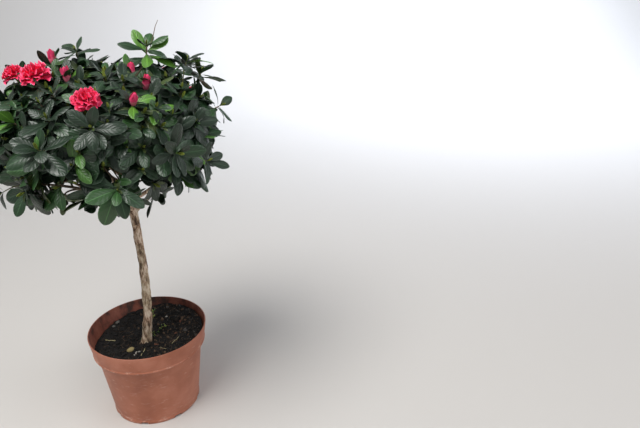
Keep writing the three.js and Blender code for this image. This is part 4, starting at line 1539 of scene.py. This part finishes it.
def soil_height(x, y):
    stem_x, stem_y, _ = STEM_LINE[0]
    away = math.hypot(x - stem_x, y - stem_y) / MOUND_REACH
    slope = SOIL_RISE_RIGHT * (x - stem_x) + SOIL_RISE_BACK * (y - stem_y)
    bumps = math.sin(BUMPS_ACROSS * x + 1) * math.cos(BUMPS_DEEP * y) + math.sin(BUMPS_ASLANT * (x - y))
    height = SOIL_AT_STEM + slope + SOIL_BUMP * bumps + SOIL_MOUND * math.exp(-away * away)
    return min(max(height, SOIL_LOWEST), SOIL_HIGHEST)


def rough_soil_height(x, y):
    place = Vector((x, y, 0))
    lumps = SOIL_LUMPS * noise.fractal(place * LUMP_FINENESS, LUMP_FADE, LUMP_STEP, LUMP_LAYERS)
    return soil_height(x, y) + lumps + SOIL_GRAINS * noise.noise(place * GRAIN_FINENESS)


def make_soil(peat):
    """The soil fills the pot, clear of its wall, and its surface is rough."""
    middle, pad, channel, floor, body, collar = pot_inside()[::-1][:6]
    rings = [(radius - GAP, height + GAP) for radius, height in (pad, channel, floor, body, collar)]
    outer = collar[0] - GAP
    rings += [(outer * i / SOIL_RINGS, None) for i in range(SOIL_RINGS, 0, -1)]
    places = []
    for radius, height in rings:
        for k in range(SOIL_COLUMNS):
            x = radius * math.cos(k * FULL_TURN / SOIL_COLUMNS)
            y = radius * math.sin(k * FULL_TURN / SOIL_COLUMNS)
            places.append((x, y, rough_soil_height(x, y) if height is None else height))
    bottom = len(places)
    places += [(0, 0, middle[1] + GAP), (0, 0, rough_soil_height(0, 0))]
    faces = grid_faces(len(rings), SOIL_COLUMNS, closed=True).tolist()
    faces += flipped(fan(0, SOIL_COLUMNS, bottom)) + fan(bottom - SOIL_COLUMNS, SOIL_COLUMNS, bottom + 1)
    parts = MeshParts()
    parts.add_mixed(places, faces)
    fix(parts.make("soil_bed", [peat], sharp_angle=70), "soil")


def icosahedron():
    """Corners and faces of a twenty-faced ball."""
    golden = (1 + math.sqrt(5)) / 2
    corners = []
    for one in (-1, 1):
        for other in (-golden, golden):
            corners += [(0, one, other), (one, other, 0), (other, 0, one)]
    corners = np.array(corners) / math.hypot(1, golden)
    edge = min(np.linalg.norm(corners[0] - corner) for corner in corners[1:])
    faces = []
    for i in range(12):
        for j in range(i + 1, 12):
            for k in range(j + 1, 12):
                sides = [np.linalg.norm(corners[a] - corners[b]) for a, b in ((i, j), (j, k), (i, k))]
                if max(sides) < edge * 1.01:
                    outward = np.dot(np.cross(corners[j] - corners[i], corners[k] - corners[i]), corners[i])
                    faces.append((i, j, k) if outward > 0 else (i, k, j))
    return corners, faces


def make_crumbs(materials):
    """Loose crumbs of peat and bark on the soil, the last of them round the stem's foot."""
    random = np.random.default_rng(SOIL_SEED)
    corners, faces = icosahedron()
    parts = MeshParts()
    outer = COLLAR_FOOT_RADIUS - WALL - CRUMB_MARGIN
    stem_x, stem_y, _ = STEM_LINE[0]
    for number in range(CRUMBS + FOOT_CRUMBS):
        at_foot = number >= CRUMBS
        reach = outer * math.sqrt(random.random())
        if at_foot:
            reach = STEM_RADIUS + FLARE + FOOT_CRUMB_REACH * random.random()
        bearing = random.random() * FULL_TURN
        largest = LARGEST_FOOT_CRUMB if at_foot else LARGEST_CRUMB * random.random() ** CRUMB_RARITY
        size = LEAST_CRUMB + largest * random.random()
        stretch = random.uniform(*CRUMB_STRETCHES, 3)
        turn = Euler(random.uniform(0, FULL_TURN, 3)).to_matrix()
        lump = corners * random.uniform(*CRUMB_ROUGHNESS, (len(corners), 1)) * stretch * size
        x = reach * math.cos(bearing) + (stem_x if at_foot else 0)
        y = reach * math.sin(bearing) + (stem_y if at_foot else 0)
        place = np.array((x, y, rough_soil_height(x, y) + size * CRUMB_RAISE))
        # Each crumb's shade is drawn at random, then lifted towards the right as painted highlight
        paleness_and_highlight = random.random() + CRUMB_HIGHLIGHT_RIGHT * x / outer
        slot = int(np.searchsorted(CRUMB_SHARES, paleness_and_highlight, side="right"))
        parts.add(lump @ np.array(turn).T + place, faces, slot)
    fix(parts.make("soil_crumbs", materials, sharp_angle=50))


def ball(rows, sides):
    """Points and faces of a round ball, ring by ring and then its two poles."""
    points = []
    for i in range(1, rows):
        rise = math.pi * i / rows
        radius = math.sin(rise)
        for k in range(sides):
            around = k * FULL_TURN / sides
            points.append((radius * math.cos(around), radius * math.sin(around), math.cos(rise)))
    count = len(points)
    points += [(0, 0, 1), (0, 0, -1)]
    faces = flipped(grid_faces(rows - 1, sides, closed=True).tolist())
    return np.array(points), faces + fan(0, sides, count) + flipped(fan(count - sides, sides, count + 1))


def make_bits(materials):
    """A husk, pale flakes, stones, pieces of bark and straws in the soil."""
    random = np.random.default_rng(SOIL_SEED + 2)
    parts = MeshParts()
    points, faces = ball(BIT_ROWS, BIT_SIDES)
    for (x, y), halves, turn, slot in BITS:
        lump = points * halves * random.uniform(*BIT_ROUGHNESS, (len(points), 1))
        leans = [random.uniform(-BIT_LEAN, BIT_LEAN) for _ in range(2)]
        turned_to = Euler((*leans, math.radians(turn))).to_matrix()
        place = np.array((x, y, rough_soil_height(x, y) + halves[2] * BIT_RAISE))
        parts.add_mixed(lump @ np.array(turned_to).T + place, faces, slot)
    for start, end, radius in STRAWS:
        line = []
        for i in range(STRAW_STEPS + 1):
            x, y = Vector(start).lerp(Vector(end), i / STRAW_STEPS)
            line.append(Vector((x, y, rough_soil_height(x, y) + STRAW_LIFT)))
        add_tube(parts, line, [radius] * len(line), TWIG_SIDES, slot=STRAW_SLOT)
    fix(parts.make("soil_bits", materials))


def make_fibres(materials):
    """Thin roots and fibres that lie on the soil."""
    random = np.random.default_rng(SOIL_SEED + 1)
    parts = MeshParts()
    outer = COLLAR_FOOT_RADIUS - WALL - FIBRE_MARGIN
    for _ in range(FIBRES):
        reach = outer * math.sqrt(random.random())
        bearing = random.random() * FULL_TURN
        heading = random.random() * FULL_TURN
        step = random.uniform(*FIBRE_LENGTHS) / FIBRE_STEPS
        curl = random.uniform(-FIBRE_CURL, FIBRE_CURL) / FIBRE_STEPS
        x = reach * math.cos(bearing)
        y = reach * math.sin(bearing)
        line = []
        for i in range(FIBRE_STEPS + 1):
            limit = outer / max(outer, math.hypot(x, y))
            x *= limit
            y *= limit
            lift = FIBRE_LIFT + FIBRE_ARCH * math.sin(math.pi * i / FIBRE_STEPS) * random.random()
            line.append(Vector((x, y, rough_soil_height(x, y) + lift)))
            heading += curl
            x += step * math.cos(heading)
            y += step * math.sin(heading)
        radius = random.uniform(*FIBRE_RADII)
        is_pale = random.random() < PALE_FIBRE_SHARE
        add_tube(parts, line, [radius] * len(line), FIBRE_SIDES, slot=int(is_pale))
    fix(parts.make("soil_fibres", materials))


# Materials


class Look:
    """A material and its shader, with the nodes that are added to it one by one."""

    def __init__(self, name, color, roughness):
        self.material = bpy.data.materials.new(name)
        self.material.use_nodes = True
        self.shader = self.material.node_tree.nodes["Principled BSDF"]
        self.shader.inputs["Base Color"].default_value = (*color, 1)
        self.shader.inputs["Roughness"].default_value = roughness

    def node(self, kind, **settings):
        made = self.material.node_tree.nodes.new(kind)
        for name, value in settings.items():
            setattr(made, name, value)
        return made

    def link(self, out, into):
        self.material.node_tree.links.new(out, into)

    def noise(self, scale, detail, roughness=0.55, stretch=(1, 1, 1)):
        """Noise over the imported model's frame, in metres, stretched by a factor each way."""
        coordinates = self.node("ShaderNodeTexCoord")
        mapping = self.node("ShaderNodeMapping")
        mapping.inputs["Scale"].default_value = stretch
        texture = self.node("ShaderNodeTexNoise")
        texture.inputs["Scale"].default_value = scale
        texture.inputs["Detail"].default_value = detail
        texture.inputs["Roughness"].default_value = roughness
        self.link(coordinates.outputs["Object"], mapping.inputs["Vector"])
        self.link(mapping.outputs["Vector"], texture.inputs["Vector"])
        return texture.outputs["Fac"]

    def ramp(self, value, stops):
        """Colours along a value: stops are (value, colour) pairs."""
        ramp = self.node("ShaderNodeValToRGB")
        elements = ramp.color_ramp.elements
        while len(elements) < len(stops):
            elements.new(0.5)
        for element, (position, color) in zip(elements, stops):
            element.position = position
            element.color = (*color, 1)
        self.link(value, ramp.inputs["Fac"])
        return ramp.outputs["Color"]

    def mix(self, value, one, other):
        mix = self.node("ShaderNodeMix", data_type="RGBA")
        self.link(value, mix.inputs["Factor"])
        self.link(one, mix.inputs["A"])
        self.link(other, mix.inputs["B"])
        return mix.outputs["Result"]

    def math(self, operation, one, other=None):
        """One step of arithmetic on values, which are sockets or plain numbers."""
        made = self.node("ShaderNodeMath", operation=operation)
        for place, value in enumerate((one, other)):
            if isinstance(value, bpy.types.NodeSocket):
                self.link(value, made.inputs[place])
            elif value is not None:
                made.inputs[place].default_value = value
        return made.outputs["Value"]

    def above(self, value, level):
        """How far a value is above a level, or nothing."""
        return self.math("MAXIMUM", self.math("SUBTRACT", value, level), 0)

    def color(self, out):
        self.link(out, self.shader.inputs["Base Color"])

    def roughen(self, value, low, high):
        scaled = self.node("ShaderNodeMapRange")
        scaled.inputs["To Min"].default_value = low
        scaled.inputs["To Max"].default_value = high
        self.link(value, scaled.inputs["Value"])
        self.link(scaled.outputs["Result"], self.shader.inputs["Roughness"])

    def bump(self, height, strength, distance):
        """Fine relief of the surface, at most distance millimetres deep."""
        bump = self.node("ShaderNodeBump")
        bump.inputs["Strength"].default_value = strength
        bump.inputs["Distance"].default_value = distance * MM
        self.link(height, bump.inputs["Height"])
        self.link(bump.outputs["Normal"], self.shader.inputs["Normal"])


def grainy_material(name, color, roughness, fineness, strength, depth):
    """A material of one colour with a fine grain in its surface."""
    look = Look(name, color, roughness)
    look.bump(look.noise(fineness, 3), strength, depth)
    return look


def vein_relief(look):
    """The quilting of a leaf's blade: side veins that run forward from its midrib to its edges."""
    mapped = look.node("ShaderNodeUVMap", uv_map="surface")
    parted = look.node("ShaderNodeSeparateXYZ")
    look.link(mapped.outputs["UV"], parted.inputs["Vector"])
    side = look.math("ABSOLUTE", look.math("SUBTRACT", parted.outputs["X"], 0.5))
    forward = look.math("MULTIPLY", side, -SIDE_VEIN_LEAN)
    phase = look.math("ADD", look.math("MULTIPLY", parted.outputs["Y"], SIDE_VEINS), forward)
    wave = look.math("SINE", look.math("MULTIPLY", phase, FULL_TURN))
    return look.math("ABSOLUTE", wave)


def leaf_material(name, color, roughness):
    look = Look(name, color, roughness)
    look.shader.inputs["Specular IOR Level"].default_value = 0.58
    grain = look.noise(700, 3)
    look.roughen(grain, roughness - 0.1, roughness + 0.14)
    look.bump(look.math("ADD", look.math("MULTIPLY", grain, 0.5), vein_relief(look)), 0.5, 0.35)
    return look.material


def paler(color, factor, lift):
    return tuple(min(PALEST_LEAF, part * factor + lift) for part in color)


def leaf_materials():
    """For each tint the leaf's blade, then for each its midrib, then for each its pale edge, which also
    carries painted sheen.
    """
    made = [leaf_material(f"leaf_{tint}", color, 0.38) for tint, color in LEAF_COLORS.items()]
    for tint, color in LEAF_COLORS.items():
        made.append(leaf_material(f"midrib_{tint}", paler(color, MIDRIB_LIGHTER, MIDRIB_PALER), 0.5))
    # Edge materials: the margin's own paleness and painted sheen along the leaf's edge
    for tint, color in LEAF_COLORS.items():
        made.append(leaf_material(f"rim_{tint}", paler(color, RIM_SHEEN_LIGHTER, RIM_SHEEN_PALER), 0.5))
    return made


def petal_material(name, color):
    look = grainy_material(name, color, 0.6, 380, 0.4, 0.4)
    look.shader.inputs["Specular IOR Level"].default_value = 0.25
    return look.material


def petal_materials():
    """The materials of the flowers, in the order of PETAL, PETAL_EDGE, BUD_FOOT and BUD_PETAL."""
    return [
        petal_material("petal", (0.9, 0.042, 0.14)),
        petal_material("petal_edge", (0.96, 0.19, 0.34)),
        petal_material("bud_foot", (0.74, 0.16, 0.24)),
        petal_material("bud_petal", (0.72, 0.05, 0.15)),
    ]


def twig_material(name, color):
    return grainy_material(name, color, 0.7, 900, 0.4, 0.3).material


def cup_materials():
    """The materials of the flowers' cups, in the order of STALK and SEPAL."""
    return [
        twig_material("flower_stalk", (0.2, 0.26, 0.08)),
        leaf_material("sepal", (0.24, 0.36, 0.08), 0.5),
    ]


def bark_material():
    """Tan and olive bark, mottled by upright fissures and by scales."""
    look = Look("bark", (0.3, 0.2, 0.13), 0.85)
    fissures = look.noise(900, 6, 0.65, (1, 1, 0.09))
    scales = look.noise(210, 4, 0.6, (1, 1, 0.4))
    broad = look.noise(45, 3, 0.5, (1, 1, 0.6))
    mottled = look.math("ADD", look.math("MULTIPLY", fissures, 0.4), look.math("MULTIPLY", scales, 0.6))
    tan = look.ramp(mottled, [
        (0.42, (0.08, 0.045, 0.028)), (0.475, (0.3, 0.185, 0.115)),
        (0.525, (0.52, 0.36, 0.25)), (0.58, (0.78, 0.64, 0.51)),
    ])
    olive = look.ramp(mottled, [
        (0.42, (0.1, 0.07, 0.042)), (0.48, (0.32, 0.225, 0.14)),
        (0.53, (0.48, 0.37, 0.25)), (0.58, (0.66, 0.56, 0.42)),
    ])
    amount = look.ramp(broad, [(0.42, (0, 0, 0)), (0.58, (1, 1, 1))])
    look.color(look.mix(amount, tan, olive))
    look.bump(mottled, 0.9, 1.1)
    return look.material


def height_band(look, low, high):
    """One and a half in the middle of a band of heights, in millimetres, and nothing well outside it."""
    coordinates = look.node("ShaderNodeTexCoord")
    parted = look.node("ShaderNodeSeparateXYZ")
    look.link(coordinates.outputs["Object"], parted.inputs["Vector"])
    away = look.math("ABSOLUTE", look.math("SUBTRACT", parted.outputs["Z"], (low + high) / 2 * MM))
    inside = look.math("DIVIDE", away, (high - low) / 2 * MM)
    return look.math("MAXIMUM", look.math("SUBTRACT", 1.5, inside), 0)


def plastic_material():
    """Terracotta-coloured plastic, scuffed along its bead and dusty at its foot."""
    look = Look("pot_plastic", (0.36, 0.115, 0.06), 0.5)
    broad = look.noise(14, 4, 0.6)
    dust = look.noise(75, 6, 0.65, (1, 1, 3))
    base = look.ramp(broad, [
        (0.35, (0.31, 0.095, 0.048)), (0.5, (0.385, 0.128, 0.069)), (0.65, (0.47, 0.178, 0.108)),
    ])
    scuffs = look.ramp(dust, [(0.5, (0.42, 0.17, 0.11)), (0.7, (0.68, 0.44, 0.35))])
    bands = look.math("ADD", height_band(look, 99, 107), height_band(look, -4, 9))
    scattered = look.math("MULTIPLY", look.above(dust, 0.56), 2.4)
    gathered = look.math("MULTIPLY", bands, look.above(dust, 0.46))
    amount = look.math("ADD", scattered, look.math("MULTIPLY", gathered, 3.2))
    look.color(look.mix(look.math("MINIMUM", amount, 0.85), base, scuffs))
    look.roughen(broad, 0.42, 0.6)
    look.bump(look.noise(1500, 2), 0.25, 0.15)
    return look.material


def shaded_stained_plastic_material():
    """The pot's inside: the same plastic, darker all over as painted shade, and mottled by stains from the
    soil.
    """
    look = grainy_material("pot_inside", (0.2, 0.055, 0.032), 0.6, 900, 0.4, 0.3)
    look.color(look.ramp(look.noise(45, 6, 0.65, (1, 1, 0.6)), [
        (0.4, (0.05, 0.022, 0.014)), (0.5, (0.2, 0.055, 0.032)), (0.66, (0.3, 0.1, 0.06)),
    ]))
    return look.material


def soil_material(name, dark, light):
    look = Look(name, dark, 0.95)
    grain = look.noise(520, 6, 0.7)
    look.color(look.ramp(grain, [(0.35, dark), (0.7, light)]))
    look.bump(grain, 0.9, 1.2)
    return look.material


def soil_materials():
    """The soil's own material first, and those of its crumbs in the order of CRUMB_SHARES."""
    return [
        soil_material("peat", (0.002, 0.0018, 0.0016), (0.011, 0.009, 0.0075)),
        soil_material("brown_peat", (0.007, 0.005, 0.0035), (0.034, 0.023, 0.015)),
        soil_material("bark_bits", (0.05, 0.03, 0.018), (0.16, 0.1, 0.06)),
        soil_material("grey_lumps", (0.045, 0.04, 0.036), (0.13, 0.115, 0.1)),
    ]


def bit_materials():
    """The materials that BITS numbers, and that of the straws."""
    return [
        soil_material("husk", (0.26, 0.2, 0.08), (0.42, 0.34, 0.16)),
        soil_material("pale_flakes", (0.3, 0.28, 0.24), (0.5, 0.47, 0.42)),
        soil_material("stone", (0.08, 0.075, 0.065), (0.2, 0.19, 0.17)),
        soil_material("red_bark", (0.09, 0.03, 0.018), (0.22, 0.09, 0.05)),
        soil_material("straw", (0.4, 0.34, 0.17), (0.55, 0.48, 0.28)),
    ]


# Stage


def make_camera():
    data = bpy.data.cameras.new("camera")
    data.sensor_width = SENSOR_WIDTH
    data.lens = FOCAL_PIXELS / IMAGE_WIDTH * SENSOR_WIDTH
    data.clip_start = 0.01
    data.clip_end = 100
    camera = bpy.data.objects.new("camera", data)
    camera.location = Vector(CAMERA_PLACE) * MM
    aim = Euler((math.radians(90 - CAMERA_PITCH), 0, math.radians(-CAMERA_HEADING))).to_matrix()
    camera.rotation_euler = (aim @ Matrix.Rotation(math.radians(CAMERA_ROLL), 3, "Z")).to_euler()
    bpy.context.scene.collection.objects.link(camera)
    bpy.context.scene.camera = camera


def make_light(name, place, target, size, power, color, spread_angle=180):
    data = bpy.data.lights.new(name, "AREA")
    data.shape = "DISK"
    data.size = size
    data.energy = power
    data.color = color
    data.spread = math.radians(spread_angle)
    light = bpy.data.objects.new(name, data)
    light.location = place
    light.rotation_euler = (Vector(target) - Vector(place)).to_track_quat("-Z", "Y").to_euler()
    bpy.context.scene.collection.objects.link(light)


def make_world():
    world = bpy.data.worlds.new("soft_light")
    world.use_nodes = True
    background = world.node_tree.nodes["Background"]
    background.inputs["Color"].default_value = (0.9, 0.94, 1, 1)
    background.inputs["Strength"].default_value = 0.3
    bpy.context.scene.world = world
    bpy.context.scene.view_settings.view_transform = "Standard"


def make_floor():
    """A pale floor that curves up into a plain backdrop."""
    look = grainy_material("pale_floor", (0.6, 0.575, 0.545), 0.75, 6, 0.1, 0.5)
    bend = FLOOR_BACK - BACKDROP_CURVE
    line = [(FLOOR_FRONT, 0), (0, 0), (bend, 0)]
    for i in range(1, BACKDROP_STEPS + 1):
        turn = math.pi / 2 * i / BACKDROP_STEPS
        line.append((bend + BACKDROP_CURVE * math.sin(turn), BACKDROP_CURVE * (1 - math.cos(turn))))
    line.append((FLOOR_BACK, BACKDROP_HEIGHT))
    points = [(x, y, z) for y, z in line for x in (-FLOOR_SIDE, 0, FLOOR_SIDE)]
    parts = MeshParts()
    parts.add(points, grid_faces(len(line), 3))
    parts.make("floor", [look.material])


def make_stage():
    make_camera()
    make_world()
    for light in LIGHTS:
        make_light(**light)
    make_floor()


def make_head(bark, leaves, twigs):
    """The boughs, twigs and leaves of each mass, and the flowers on them."""
    for i, mass in enumerate(masses):
        if mass.bough:
            make_bough(mass, bark)
        grow_twigs(mass)
        make_twigs(mass, twigs)
        make_leaves(mass, MASS_SEED + i, leaves)
    make_flowers(petal_materials(), cup_materials())


def main():
    make_stage()
    lay_out_fine_shoots()
    bark = bark_material()
    leaves = leaf_materials()
    twigs = [twig_material("twig", (0.16, 0.11, 0.07)), twig_material("green_twig", (0.17, 0.17, 0.07))]
    make_stem(bark)
    make_head(bark, leaves, twigs)
    make_pot([plastic_material(), shaded_stained_plastic_material()])
    soils = soil_materials()
    make_soil(soils[0])
    make_crumbs(soils)
    make_bits(bit_materials())
    make_sprigs(leaves, twigs)
    make_fibres(soils[1:3])


main()
